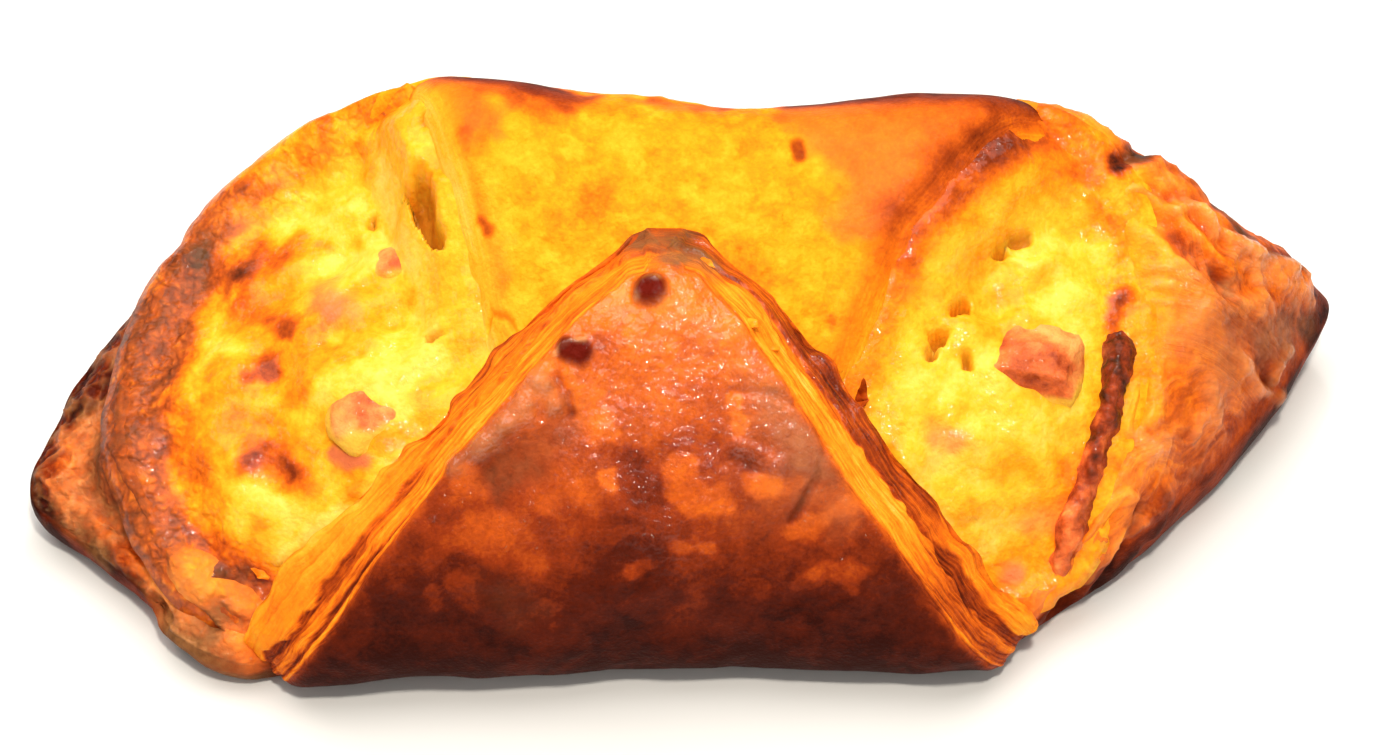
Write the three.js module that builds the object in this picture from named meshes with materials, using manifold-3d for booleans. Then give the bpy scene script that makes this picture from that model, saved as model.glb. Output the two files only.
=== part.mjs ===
// A baked ham and cheese danish: one square of laminated dough round a cheese filling, with its front and
// back corners folded over the middle, so that the filling shows in a mouth at each end. Millimetres, +Z up.
// The front flap faces -Y, the two unfolded corners (the wings) point along -X and +X, and the underside
// rests on the plane z = 0.
import * as THREE from "three";
import { mergeVertices } from "three/addons/utils/BufferGeometryUtils.js";
import Module from "manifold-3d";

// ---- Driving dimensions ----
const FLOOR_THICKNESS = 5.5; // dough under the filling
const APEX_HEIGHT = 43; // top of the front flap
const CREST_HEIGHT = 41; // top of the back fold
const FLAP_THICKNESS = 7.2; // puffed dough of a flap, away from its folds
const FOLD_THICKNESS = 5.2; // the same dough pressed in a fold
const LAYER_STEP = 5; // how far the inner leaves stand out past the glazed one at a flap's tip
const FILLING_TOP = 30; // the mound of filling at the middle
const GAP = 0.32; // air between two neighbouring solids
const LAYERS = 4; // leaves of dough that show in a cut edge

const lerp = (a, b, t) => a + (b - a) * t;
const clamp01 = (t) => Math.min(1, Math.max(0, t));
const smooth = (a, b, t) => {
  const x = clamp01((t - a) / (b - a));
  return x * x * (3 - 2 * x);
};

// Uneven surface of baked dough or cheese: a few crossed waves, about -1 to 1. pitch is the size of a bump.
function lumps(x, y, pitch, seed = 0) {
  const a = (2 * Math.PI) / pitch;
  const first = Math.sin(a * (0.83 * x + 0.55 * y) + 1.3 * seed);
  const second = Math.sin(a * (0.41 * x - 0.97 * y) * 1.27 + 2.1 * seed + 0.7);
  const third = Math.sin(a * (1.31 * x + 0.12 * y) * 0.71 + 0.6 * seed + 2.9);
  return (first + second + third * 0.8) / 2.8;
}

// ---- Meshes and solids ----
const wasm = await Module();
wasm.setup();

// A closed mesh whose vertices are shared, without the flat triangles of a pole.
function closed(geometry) {
  geometry.deleteAttribute("normal");
  geometry.deleteAttribute("uv");
  const merged = mergeVertices(geometry, 1e-4);
  const corners = merged.index.array;
  const kept = [];
  for (let i = 0; i < corners.length; i += 3) {
    const [a, b, c] = corners.slice(i, i + 3);
    if (a !== b && b !== c && c !== a) kept.push(a, b, c);
  }
  merged.setIndex(kept);
  return merged;
}

// The solid of a mesh, moved outwards along its normals by grow to make room round a neighbour.
function toSolid(geometry, grow = 0) {
  geometry.computeVertexNormals();
  const points = geometry.attributes.position;
  const normals = geometry.attributes.normal;
  for (let i = 0; i < points.count; i++) {
    const [x, y, z] = [points.getX(i), points.getY(i), points.getZ(i)];
    points.setXYZ(i, x + grow * normals.getX(i), y + grow * normals.getY(i), z + grow * normals.getZ(i));
  }
  return new wasm.Manifold(
    new wasm.Mesh({
      numProp: 3,
      vertProperties: geometry.attributes.position.array,
      triVerts: new Uint32Array(geometry.index.array),
    }),
  );
}

function toGeometry(solid) {
  const { vertProperties, triVerts } = solid.getMesh();
  const geometry = new THREE.BufferGeometry();
  geometry.setAttribute("position", new THREE.BufferAttribute(new Float32Array(vertProperties), 3));
  geometry.setIndex(new THREE.BufferAttribute(new Uint32Array(triVerts), 1));
  geometry.computeVertexNormals();
  return geometry;
}

// The largest body of a solid, without any loose scrap that a cut left.
function largest(solid) {
  return solid.decompose().reduce((best, next) => (next.volume() > best.volume() ? next : best));
}

// A sheet with thickness: place(u, v, w) puts each point of a unit block, w running from inside to outside.
function sheetSolid(across, along, through, place, grow) {
  const geometry = new THREE.BoxGeometry(1, 1, 1, across, along, through);
  const points = geometry.attributes.position;
  for (let i = 0; i < points.count; i++) {
    const [u, v, w] = [points.getX(i) + 0.5, points.getY(i) + 0.5, points.getZ(i) + 0.5];
    points.setXYZ(i, ...place(u, v, w));
  }
  return toSolid(closed(geometry), grow);
}

// A round body: place(angle, ring) puts each point, ring 0 being the middle of the underside, the last the top.
function roundSolid(around, rings, place, grow) {
  const profile = [];
  for (let i = 0; i <= rings; i++) {
    const t = i / rings;
    profile.push(new THREE.Vector2(i % rings === 0 ? 0 : Math.sin(Math.PI * t), -Math.cos(Math.PI * t)));
  }
  const geometry = new THREE.LatheGeometry(profile, around);
  const points = geometry.attributes.position;
  for (let i = 0; i < points.count; i++) {
    const turn = Math.floor(i / (rings + 1)) / around;
    points.setXYZ(i, ...place(2 * Math.PI * (turn % 1), i % (rings + 1)));
  }
  return toSolid(closed(geometry), grow);
}

// ---- Plan of the base: the square of dough, its folded corners cut off by the two folds ----
// Two closed lines of [x, y, z], counterclockwise: the widest line of the outer wall, and the crest of the rim
// that holds the filling.
const OUTLINE = [
  [-77, -8.8, 7], [-70.8, -14.6, 6], [-62, -22.8, 6], [-60, -26, 5], [-52, -30.5, 4], [-42, -29, 4],
  [-20, -27.5, 4], [5, -26, 4], [27, -26.5, 4], [36.5, -26, 4], [41, -23.4, 6],
  [48, -17.8, 8], [56.5, -10, 8.5], [64.5, -0.8, 9], [71.5, 9.2, 9.5], [75.6, 20, 10],
  [70.2, 24.2, 11.5], [59.5, 28.3, 13], [47, 31.5, 14], [20, 31, 12], [-8, 31, 12],
  [-33, 34.5, 14], [-46, 33, 14], [-57.5, 28, 12], [-66, 18.5, 10], [-74, 5, 8],
];
const RIM = [
  [52, 2.5, 23], [52.3, 13, 27.3], [48.5, 21.5, 32.2], [38, 25.5, 36], [20, 25.5, 35], [-10, 26, 35],
  [-27, 29, 37.5], [-35, 29.4, 35.2], [-44.5, 28.6, 29.3], [-53, 24.6, 24], [-59.5, 17.2, 20.2], [-63.8, 5, 18],
  [-65, -4, 16.5], [-62.8, -13, 14], [-58, -21, 11], [-50, -25.5, 8.5], [-20, -25, 7], [20, -24, 7],
  [36, -23.5, 8], [41.5, -20.5, 10], [46.5, -13, 15.5], [50, -5, 20],
];

// Reads a closed line as radius and height over the angle in radians.
function polar(line) {
  const curve = new THREE.CatmullRomCurve3(line.map((point) => new THREE.Vector3(...point)), true, "centripetal");
  const rows = curve.getPoints(600).slice(1).map(({ x, y, z }) => [Math.atan2(y, x), Math.hypot(x, y), z]);
  rows.sort((a, b) => a[0] - b[0]);
  return (angle) => {
    const at = Math.atan2(Math.sin(angle), Math.cos(angle));
    const next = (rows.findIndex((row) => row[0] > at) + rows.length) % rows.length;
    const [a, b] = [rows[(next + rows.length - 1) % rows.length], rows[next]];
    const span = (b[0] - a[0] + 2 * Math.PI) % (2 * Math.PI);
    const t = ((at - a[0] + 2 * Math.PI) % (2 * Math.PI)) / span;
    return { radius: lerp(a[1], b[1], t), height: lerp(a[2], b[2], t) };
  };
}
const edgeAt = polar(OUTLINE);
const rimAt = polar(RIM);

// A smooth line through a few rows of [position, value], level beyond its ends.
function table(rows) {
  const slope = (i) => {
    const [before, after] = [rows[Math.max(i - 1, 0)], rows[Math.min(i + 1, rows.length - 1)]];
    return (after[1] - before[1]) / (after[0] - before[0]);
  };
  return (at) => {
    const next = rows.findIndex(([position]) => position > at);
    if (next === 0) return rows[0][1];
    if (next < 0) return rows[rows.length - 1][1];
    const [[a, low], [b, high]] = [rows[next - 1], rows[next]];
    const t = (at - a) / (b - a);
    const ends = low * (1 + 2 * t) * (1 - t) ** 2 + high * t * t * (3 - 2 * t);
    return ends + (b - a) * t * (1 - t) * (slope(next - 1) * (1 - t) - slope(next) * t);
  };
}

// The left wing steps down from its rim to a lower tier of layers (1); elsewhere the dough is a pillow (0).
// Rows of [degrees from +X, share of the step].
const tierAt = table([[-180, 1], [-158, 0.85], [-140, 0.25], [-120, 0], [120, 0], [150, 0.15], [166, 0.75], [180, 1]]);

// ---- Base: floor, rims and wings ----
const FOOT_SHARE = 0.94; // how far out the flat underside reaches
const FLOOR_END = 0.72; // share of the rim's distance at which the floor starts to rise to the rim
const WING_BUMP = 1.2; // height of the blisters on a wing
const BASE_AROUND = 76;
const BASE_RINGS = { underside: 2, wall: 3, wing: 7, inside: 6 };

function basePoint(angle, ring) {
  const edge = edgeAt(angle);
  const rim = rimAt(angle);
  const { underside, wall, wing, inside } = BASE_RINGS;
  let out, z;
  if (ring <= underside) {
    out = edge.radius * FOOT_SHARE * (ring / underside);
    z = 0;
  } else if (ring <= underside + wall) {
    const turn = ((ring - underside) / wall) * (Math.PI / 2);
    out = edge.radius * lerp(FOOT_SHARE, 1, Math.sin(turn));
    z = edge.height * (1 - Math.cos(turn));
  } else if (ring <= underside + wall + wing) {
    const q = (ring - underside - wall) / wing;
    const tier = tierAt((Math.atan2(Math.sin(angle), Math.cos(angle)) * 180) / Math.PI);
    const pillow = 1 - Math.pow(1 - q, 2.1);
    const step = 0.22 * smooth(0, 0.35, q) + 0.78 * smooth(0.5, 0.9, q);
    const bumps = WING_BUMP * Math.sin(Math.PI * q) * lumps(edge.radius * angle, 60 * q, 13, 2);
    out = lerp(edge.radius, rim.radius, q);
    z = lerp(edge.height, rim.height, lerp(pillow, step, tier)) + bumps;
  } else {
    const share = Math.sqrt(1 - (ring - underside - wall - wing) / inside);
    out = rim.radius * share;
    z = lerp(FLOOR_THICKNESS, rim.height, smooth(FLOOR_END, 0.97, share));
  }
  return [out * Math.cos(angle), out * Math.sin(angle), z];
}

// ---- Flaps: the folded corners ----
// A flap follows a profile in the YZ plane from under the base, round the fold and over the filling.
function profileOf(points) {
  return new THREE.CatmullRomCurve3(points.map(([y, z]) => new THREE.Vector3(0, y, z)), false, "centripetal");
}

const FRONT = {
  profile: profileOf([
    [-18, 1.2], [-26.5, 0.6], [-31.4, 3.6], [-32.8, 10], [-29.8, 18.5],
    [-22.5, 28], [-13.5, 36.6], [-5, 42], [3, APEX_HEIGHT + 1.5],
  ]),
  side: 1, // faces -Y
  // The edges of the innermost leaf, x over the share of the profile, and how far the glazed leaf stays back.
  left: table([[0.1, -52], [0.2, -54], [0.3, -49.5], [0.65, -29.3], [1, -8.8]]),
  right: table([[0.12, 39], [0.2, 40], [0.3, 35.3], [0.65, 17.8], [1, 0.8]]),
  leftStep: table([[0.1, 2], [0.2, 9], [0.35, 11], [0.7, 6.5], [1, 4]]),
  rightStep: table([[0.1, 1.5], [0.25, 5.5], [0.6, 6], [1, 4]]),
  leaf: 0.55,
  tip: 0.5, // share of its width that the end loses
  // How the fold wanders along its length: x, then the shift in y or z.
  sway: table([[-52, -2], [-32, -0.8], [5, 0.8], [26, 0.2], [40, 0.8]]),
  lift: table([[-52, 0], [40, 0]]),
  seed: 1,
};
const BACK = {
  profile: profileOf([
    [17, 1.2], [25.5, 0.8], [30.5, 5], [32, 14], [31, 24],
    [27.3, 33], [20.5, CREST_HEIGHT - 2], [12, 38], [1, 34], [-9, 29.5], [-17, 23],
  ]),
  side: -1,
  left: table([[0.4, -36.5], [0.55, -34], [0.7, -29.5], [0.85, -26], [1, -23]]),
  right: table([[0.4, 45], [0.5, 43], [0.6, 37], [0.72, 29.5], [0.85, 24], [1, 20]]),
  leftStep: table([[0.4, 2], [0.7, 4.5], [1, 4.5]]),
  rightStep: table([[0.4, 1], [0.55, 5], [0.7, 7.5], [1, 8]]),
  leaf: 0.25,
  tip: 0.1,
  sway: table([[-36, 4.2], [-26, 3.4], [-8, 0.8], [12, -0.7], [30, 0.8], [46, 0]]),
  lift: table([[-36, 2.2], [-26, 1.8], [-8, 0.2], [10, 0], [24, 1], [46, 1.2]]),
  seed: 5,
};

function flapPoint(flap) {
  const length = flap.profile.getLength();
  return (u, v, w) => {
    // The glazed outer leaf ends before the inner ones, which makes the cut edge a slope of layers.
    const along = clamp01(v * (1 - (LAYER_STEP / length) * w));
    const point = flap.profile.getPointAt(along);
    const tangent = flap.profile.getTangentAt(along);
    const leaf = flap.leaf * Math.cos(2 * Math.PI * LAYERS * w) * smooth(0.12, 0.3, along);
    const tip = flap.tip * Math.pow(smooth(0.88, 1, v), 2);
    const [inLeft, inRight] = [flap.left(along), flap.right(along)];
    const middle = (inLeft + inRight) / 2;
    const left = lerp(inLeft + flap.leftStep(along) * w + leaf, middle, tip);
    const right = lerp(inRight - flap.rightStep(along) * w - leaf, middle, tip);
    const across = flap.side > 0 ? u : 1 - u;
    const x = lerp(left, right, across);
    // Thin in the fold, thick over the filling, with a soft rise in the middle.
    const fold = 1 - smooth(0.12, 0.36, along);
    const thickness = lerp(FLAP_THICKNESS, FOLD_THICKNESS, fold);
    const crown = 1.4 * Math.sin(Math.PI * across) * smooth(0.15, 0.45, along) * (1 - smooth(0.75, 1, along));
    const uneven = 0.7 * lumps(x, along * length, 26, flap.seed) * smooth(0.2, 0.4, along);
    const out = (crown + uneven) * w - (1 - w) * thickness;
    const y = point.y - flap.side * tangent.z * out + flap.sway(x) * (1 - smooth(0.5, 0.95, along));
    const lift = flap.lift(x) * smooth(0.1, 0.45, along) * (1 - smooth(0.6, 0.9, along));
    return [x, y, Math.max(point.z + flap.side * tangent.y * out + lift, 0)];
  };
}

// ---- Filling ----
// Height of the visible cheese over a point of the plan.
function fillingTop(x, y) {
  const rim = rimAt(Math.atan2(y, x));
  const share = clamp01(Math.hypot(x, y) / rim.radius);
  const edge = Math.min(Math.max(rim.height - 0.8, 8), FILLING_TOP + 4);
  return lerp(FILLING_TOP, edge, Math.pow(share, 2.1)) + 0.9 * lumps(x, y, 15, 3) + 0.5 * lumps(x, y, 7, 8);
}

// Height of the middle of a flap's dough over a line y, which keeps the mound of filling inside the folds.
function underFlap(flap) {
  const inset = FOLD_THICKNESS / 2;
  const samples = [];
  for (let i = 0; i <= 200; i++) {
    const at = i / 200;
    const point = flap.profile.getPointAt(at);
    const tangent = flap.profile.getTangentAt(at);
    if (flap.side * tangent.y <= 0 && flap.side * tangent.z <= 0) continue;
    samples.push([point.y + flap.side * tangent.z * inset, point.z - flap.side * tangent.y * inset]);
  }
  return (y) => {
    const over = samples.filter(([at]) => flap.side * (y - at) >= 0);
    return over.length ? Math.max(...over.map(([, z]) => z)) : 0;
  };
}

const MOUND_AROUND = 52;
const MOUND_RINGS = { underside: 1, top: 12 };
const MOUND_FOOT = 3; // below the floor's top, so that the base cuts the mound's underside

function moundPoint() {
  const front = underFlap(FRONT);
  const back = underFlap(BACK);
  return (angle, ring) => {
    const { underside, top } = MOUND_RINGS;
    const below = ring <= underside;
    const share = below ? ring / underside : Math.sqrt(1 - (ring - underside) / top);
    const radius = rimAt(angle).radius * 0.985 * share;
    const [x, y] = [radius * Math.cos(angle), radius * Math.sin(angle)];
    const roof = Math.min(front(y), back(y), fillingTop(x, y));
    return [x, y, below ? MOUND_FOOT : Math.max(roof, MOUND_FOOT + 0.5)];
  };
}

// A deep slit in the cheese beside the back flap, and two smaller holes.
const HOLES = [
  { at: [-31, 15.5, 32], size: [2.6, 7.5, 6], turn: 0.15 },
  { at: [31.5, 5.5, 29], size: [1.5, 2.4, 3], turn: -0.6 },
  { at: [28, 0.5, 28.5], size: [1.3, 2, 3], turn: -0.4 },
];

function holeSolid({ at, size, turn }) {
  const rings = 6;
  return roundSolid(10, rings, (angle, ring) => {
    const across = Math.sin((Math.PI * ring) / rings);
    const [x, y] = [size[0] * across * Math.cos(angle), size[1] * across * Math.sin(angle)];
    const z = -size[2] * Math.cos((Math.PI * ring) / rings);
    return [
      at[0] + x * Math.cos(turn) - y * Math.sin(turn),
      at[1] + x * Math.sin(turn) + y * Math.cos(turn),
      at[2] + z,
    ];
  });
}

// ---- Ham ----
// Diced ham that stands out of the cheese: a rounded block, sunk to about half its height.
const HAM_DICE = [
  { name: "ham_cube_right", at: [39, -1.8], size: [9.4, 8, 7], turn: 0.35, rise: 1.6 },
  { name: "ham_cube_left", at: [-37.2, -9], size: [9.5, 8, 6.5], turn: -0.5, rise: 0.9 },
  { name: "ham_bit_left", at: [-35.5, 9], size: [5.6, 4.6, 4.6], turn: 0.3, rise: 0.8 },
];

function diceSolid({ at, size, turn, rise }, grow) {
  const place = (u, v, w) => {
    const middle = fillingTop(...at) + rise - size[2] / 2;
    const block = [u, v, w].map((t) => 2 * t - 1);
    const ball = Math.hypot(...block) || 1;
    const cube = Math.max(...block.map(Math.abs));
    const round = lerp(1, cube / ball, 0.55);
    const uneven = 1 + 0.08 * lumps(block[0] * 9, block[1] * 9 + block[2] * 5, 8, size[0]);
    const [x, y, z] = block.map((b, i) => (b * round * size[i] * uneven) / 2);
    return [
      at[0] + x * Math.cos(turn) - y * Math.sin(turn),
      at[1] + x * Math.sin(turn) + y * Math.cos(turn),
      middle + z,
    ];
  };
  return sheetSolid(5, 5, 4, place, grow);
}

// The browned edge of a slice of ham that stands between the filling and the right wing.
const HAM_SLICE = {
  name: "ham_slice_right",
  path: [[48.6, 2.4], [47.9, -4], [46.6, -10], [44.6, -16], [41.6, -21.6]],
  width: [5.4, 2.6], // at its head and its tail
  rise: 2.2,
  depth: 6,
};

function sliceSolid(slice, grow) {
  const path = new THREE.CatmullRomCurve3(slice.path.map(([x, y]) => new THREE.Vector3(x, y, 0)));
  const place = (u, v, w) => {
    const point = path.getPointAt(clamp01(v));
    const tangent = path.getTangentAt(clamp01(v));
    const head = 1 - smooth(0, 0.22, v);
    const half = lerp(slice.width[1], slice.width[0], head) / 2;
    const taper = Math.sqrt(clamp01(1 - Math.pow(Math.abs(2 * v - 1), 8)) * 0.8 + 0.2);
    const knobbly = 1 + 0.14 * Math.sin(v * 34) + 0.08 * Math.sin(v * 61 + 1);
    const crown = 1 - 0.45 * Math.pow(2 * u - 1, 2) * w;
    const side = (1 - 2 * u) * half * taper * knobbly * lerp(1, 0.8, w);
    const top = fillingTop(point.x, point.y) + slice.rise * crown * taper * knobbly;
    return [point.x - tangent.y * side, point.y + tangent.x * side, lerp(top - slice.depth, top, w)];
  };
  return sheetSolid(4, 16, 3, place, grow);
}

// ---- Assembly ----
const total = (rings) => Object.values(rings).reduce((sum, count) => sum + count, 0);

function doughSolid(grow) {
  const base = roundSolid(BASE_AROUND, total(BASE_RINGS), basePoint, grow);
  const front = sheetSolid(14, 28, 2 * LAYERS, flapPoint(FRONT), grow);
  const back = sheetSolid(12, 26, 2 * LAYERS, flapPoint(BACK), grow);
  return base.add(front).add(back);
}

const dough = doughSolid(0);
const hamSolids = HAM_DICE.map((dice) => [dice.name, diceSolid(dice, 0), diceSolid(dice, GAP)]);
hamSolids.push([HAM_SLICE.name, sliceSolid(HAM_SLICE, 0), sliceSolid(HAM_SLICE, GAP)]);

const grownDough = doughSolid(GAP).add(dough);
let filling = roundSolid(MOUND_AROUND, total(MOUND_RINGS), moundPoint()).subtract(grownDough);
for (const hole of HOLES) filling = filling.subtract(holeSolid(hole));
for (const [, , grown] of hamSolids) filling = filling.subtract(grown);

const danish = new THREE.Group();

// Each solid is one named mesh with its own colour.
function addPart(name, solid, color, roughness) {
  const material = new THREE.MeshStandardMaterial({ color, roughness, metalness: 0 });
  const mesh = new THREE.Mesh(toGeometry(solid), material);
  mesh.name = name;
  danish.add(mesh);
}

addPart("pastry", largest(dough), 0xb5581c, 0.4);
addPart("filling", largest(filling), 0xf0bf4a, 0.45);
for (const [name, solid] of hamSolids) addPart(name, largest(solid.subtract(grownDough)), 0xc8603c, 0.5);

// The origin is under the middle of the whole.
const extent = new THREE.Box3().setFromObject(danish);
const middle = extent.getCenter(new THREE.Vector3());
danish.position.set(-middle.x, -middle.y, -extent.min.z);

export default danish;
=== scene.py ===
# The looks of a baked ham and cheese danish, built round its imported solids. The shapes repeat the part's own
# named sizes, in millimetres, with the origin under the middle of the dough square, and get finer relief:
# leaves of dough in the cut edges, blisters, creases, curds and holes. Their browning is stored per vertex.
import itertools
import math

import bpy
import numpy as np
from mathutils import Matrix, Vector
from mathutils.bvhtree import BVHTree


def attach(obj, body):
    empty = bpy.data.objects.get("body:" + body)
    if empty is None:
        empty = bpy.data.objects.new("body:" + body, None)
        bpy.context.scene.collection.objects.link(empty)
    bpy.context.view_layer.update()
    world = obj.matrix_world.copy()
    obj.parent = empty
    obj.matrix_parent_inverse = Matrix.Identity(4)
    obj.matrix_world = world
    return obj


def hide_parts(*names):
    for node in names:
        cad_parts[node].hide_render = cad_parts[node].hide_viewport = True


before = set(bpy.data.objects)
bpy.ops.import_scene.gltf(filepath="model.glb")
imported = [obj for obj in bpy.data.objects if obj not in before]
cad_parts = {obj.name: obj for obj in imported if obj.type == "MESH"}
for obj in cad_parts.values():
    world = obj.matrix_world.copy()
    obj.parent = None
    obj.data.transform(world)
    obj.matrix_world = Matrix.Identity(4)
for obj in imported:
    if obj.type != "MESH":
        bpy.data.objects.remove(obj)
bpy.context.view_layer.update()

MM = 0.001
DOUGH_MIDDLE = np.array([0.77, -0.96, 0.0])  # where the dough square's middle lies in the frame, mm

# ---- The photograph's camera ----
PHOTO_WIDTH, PHOTO_HEIGHT = 1392, 755
CAMERA_ELEVATION = 50.0  # degrees
CAMERA_DISTANCE = 430.0
CAMERA_TARGET = np.array([0.78, -0.96, 18.0])  # in the frame
SENSOR_WIDTH = 36.0
LENS = 96.7


def lerp(a, b, t):
    return a + (b - a) * t


def smooth(low, high, value):
    """0 below low, 1 above high, and a soft step between them."""
    t = np.clip((value - low) / (high - low), 0, 1)
    return t * t * (3 - 2 * t)


def table(rows):
    """A smooth line through rows of (position, value), level beyond its ends."""
    at, value = np.array(rows, float).T
    before = np.maximum(np.arange(len(at)) - 1, 0)
    after = np.minimum(np.arange(len(at)) + 1, len(at) - 1)
    slope = (value[after] - value[before]) / (at[after] - at[before])

    def read(where):
        where = np.clip(where, at[0], at[-1])
        i = np.clip(np.searchsorted(at, where, "right") - 1, 0, len(at) - 2)
        span = at[i + 1] - at[i]
        t = (where - at[i]) / span
        ends = value[i] * (1 + 2 * t) * (1 - t) ** 2 + value[i + 1] * t * t * (3 - 2 * t)
        return ends + span * t * (1 - t) * (slope[i] * (1 - t) - slope[i + 1] * t)

    return read


def centripetal(points, closed=False, steps=40):
    """Points along the centripetal Catmull-Rom curve through the given ones."""
    points = np.array(points, float)
    if closed:
        padded = np.concatenate([points[-1:], points, points[:2]])
    else:
        padded = np.concatenate([2 * points[:1] - points[1:2], points, 2 * points[-1:] - points[-2:-1]])
    t = np.linspace(0, 1, steps, endpoint=False)[:, None]
    spans = []
    for a, b, c, d in zip(padded, padded[1:], padded[2:], padded[3:]):
        first, middle, last = (np.sqrt(np.linalg.norm(q - p)) for p, q in ((a, b), (b, c), (c, d)))
        leave = ((b - a) / first - (c - a) / (first + middle) + (c - b) / middle) * middle
        arrive = ((c - b) / middle - (d - b) / (middle + last) + (d - c) / last) * middle
        spans.append(b + leave * t + (3 * (c - b) - 2 * leave - arrive) * t**2
                     + (2 * (b - c) + leave + arrive) * t**3)
    if not closed:
        spans.append(points[-1:])
    return np.concatenate(spans)


# ---- Noise ----
TURNED = np.array([[0.36, 0.48, -0.80], [-0.80, 0.60, 0.0], [0.48, 0.64, 0.60]])


def scramble(cells, seed):
    """An even random number from 0 to 1 for each whole cell of space."""
    x, y, z = (cells[..., i].astype(np.int64).astype(np.uint32) for i in range(3))
    key = x * np.uint32(0x8DA6B343) ^ y * np.uint32(0xD8163841) ^ z * np.uint32(0xCB1AB31F)
    key ^= np.uint32((seed * 0x9E3779B1 + 0x7F4A7C15) & 0xFFFFFFFF)
    for shift, factor in ((15, 0x2C1B3C6D), (12, 0x297A2D39)):
        key ^= key >> np.uint32(shift)
        key *= np.uint32(factor)
    key ^= key >> np.uint32(15)
    return key / 2.0**32


def noise(points, pitch, seed=0):
    """Smooth unevenness from about -1 to 1, its bumps about one pitch wide."""
    cell = points @ TURNED.T / pitch + 11.3 * seed
    low = np.floor(cell)
    part = cell - low
    ease = part**3 * (part * (part * 6 - 15) + 10)
    total = np.zeros(points.shape[:-1])
    for corner in itertools.product((0, 1), repeat=3):
        weight = np.prod(np.where(corner, ease, 1 - ease), axis=-1)
        total += weight * (2 * scramble(low + corner, seed) - 1)
    return 1.5 * total


def rough(points, pitch, octaves=3, seed=0):
    """Noise with finer noise on it."""
    return sum(noise(points, pitch / 2**i, seed + i) / 2**i for i in range(octaves)) / 1.6


def bubbles(points, pitch, seed=0):
    """Distance to the nearest of scattered points, in pitches, and a random number for that point."""
    cell = points @ TURNED.T / pitch + 5.7 * seed
    low = np.floor(cell)
    nearest = np.full(points.shape[:-1], 9.0)
    which = np.zeros_like(nearest)
    for step in itertools.product((-1, 0, 1), repeat=3):
        home = low + step
        centre = home + np.stack([scramble(home, seed + k) for k in range(3)], axis=-1)
        distance = np.linalg.norm(cell - centre, axis=-1)
        closer = distance < nearest
        nearest = np.where(closer, distance, nearest)
        which = np.where(closer, scramble(home, seed + 7), which)
    return nearest, which


def ridged(points, pitch, seed=0):
    """Thin crests on smooth ground, from 0 to 1."""
    return np.clip(1 - 2.4 * np.abs(noise(points, pitch, seed)), 0, 1)


# ---- Meshes ----
def coordinates(mesh):
    flat = np.empty(len(mesh.vertices) * 3, np.float32)
    mesh.vertices.foreach_get("co", flat)
    return flat.reshape(-1, 3).astype(float)


def normals(mesh):
    flat = np.empty(len(mesh.vertices) * 3, np.float32)
    mesh.vertex_normals.foreach_get("vector", flat)
    return flat.reshape(-1, 3).astype(float)


def place(mesh, spots):
    mesh.vertices.foreach_set("co", spots.astype(np.float32).ravel())
    mesh.update()


def push(mesh, amount):
    """Moves each vertex outwards by its own amount."""
    place(mesh, coordinates(mesh) + normals(mesh) * amount[:, None])


def lofted(name, rings):
    """A closed mesh through rings of equally many points, with one more point at the middle of each end."""
    count, around, _ = rings.shape
    spots = np.concatenate([rings.reshape(-1, 3), rings[0].mean(0)[None], rings[-1].mean(0)[None]])
    start = (np.arange(count - 1)[:, None] * around + np.arange(around)[None]).ravel()
    beside = (np.arange(count - 1)[:, None] * around + (np.arange(around)[None] + 1) % around).ravel()
    quads = np.stack([start, beside, beside + around, start + around], axis=1)
    turn, after = np.arange(around), (np.arange(around) + 1) % around
    first, last = count * around, count * around + 1
    end = (count - 1) * around
    fans = [(first, b, a) for a, b in zip(turn, after)]
    fans += [(last, end + a, end + b) for a, b in zip(turn, after)]
    mesh = bpy.data.meshes.new(name)
    mesh.from_pydata(spots.tolist(), [], quads.tolist() + [tuple(map(int, fan)) for fan in fans])
    a, b, c, d = (spots[quads[:, i]] for i in range(4))
    if np.einsum("ij,ij->i", a, np.cross(b, c) + np.cross(c, d)).sum() < 0:
        mesh.flip_normals()
    mesh.shade_smooth()
    return mesh


def eased(values, spread):
    """Values over rings of points, blurred along each ring by a spread in points."""
    reach = int(3 * spread) + 1
    steps = np.arange(-reach, reach + 1)
    weights = np.exp(-((steps / spread) ** 2) / 2)
    total = sum(weight * np.roll(values, step, axis=1) for step, weight in zip(steps, weights))
    return total / weights.sum()


def ring_values(values):
    """Values of a loft's ring points, with those of its two end points."""
    return np.concatenate([values.ravel(), [values[0].mean(), values[-1].mean()]])


# What the material in each slot reads from its meshes.
READ_PER_VERTEX = {
    "crust": ("brown", "red", "cut", "leaf", "along", "egg", "grey", "rosy", "pale", "glaze", "pebble"),
    "cheese": ("brown", "red", "pink", "grey", "hole", "pebble", "glaze"),
    "ham": ("brown", "pale", "grey"),
    "browned_ham": ("brown", "pale", "grey"),
}


def finished(mesh, slot, material, nodes, **amounts):
    """Turns a mesh in millimetres into a piece of the object that stands for CAD nodes, and keeps it above
    the floor. The amounts are what its material reads, and those that aren't given are 0."""
    for name in READ_PER_VERTEX[slot]:
        values = np.broadcast_to(amounts.get(name, 0.0), len(mesh.vertices))
        mesh.attributes.new(name, "FLOAT", "POINT").data.foreach_set("value", values.astype(np.float32))
    spots = coordinates(mesh) + DOUGH_MIDDLE
    spots[:, 2] = np.maximum(spots[:, 2], 0)
    place(mesh, spots * MM)
    piece = bpy.data.objects.new(mesh.name, mesh)
    bpy.context.scene.collection.objects.link(piece)
    mesh.materials.append(material)
    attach(piece, "root")
    if nodes:
        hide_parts(*nodes)
    return piece


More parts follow.
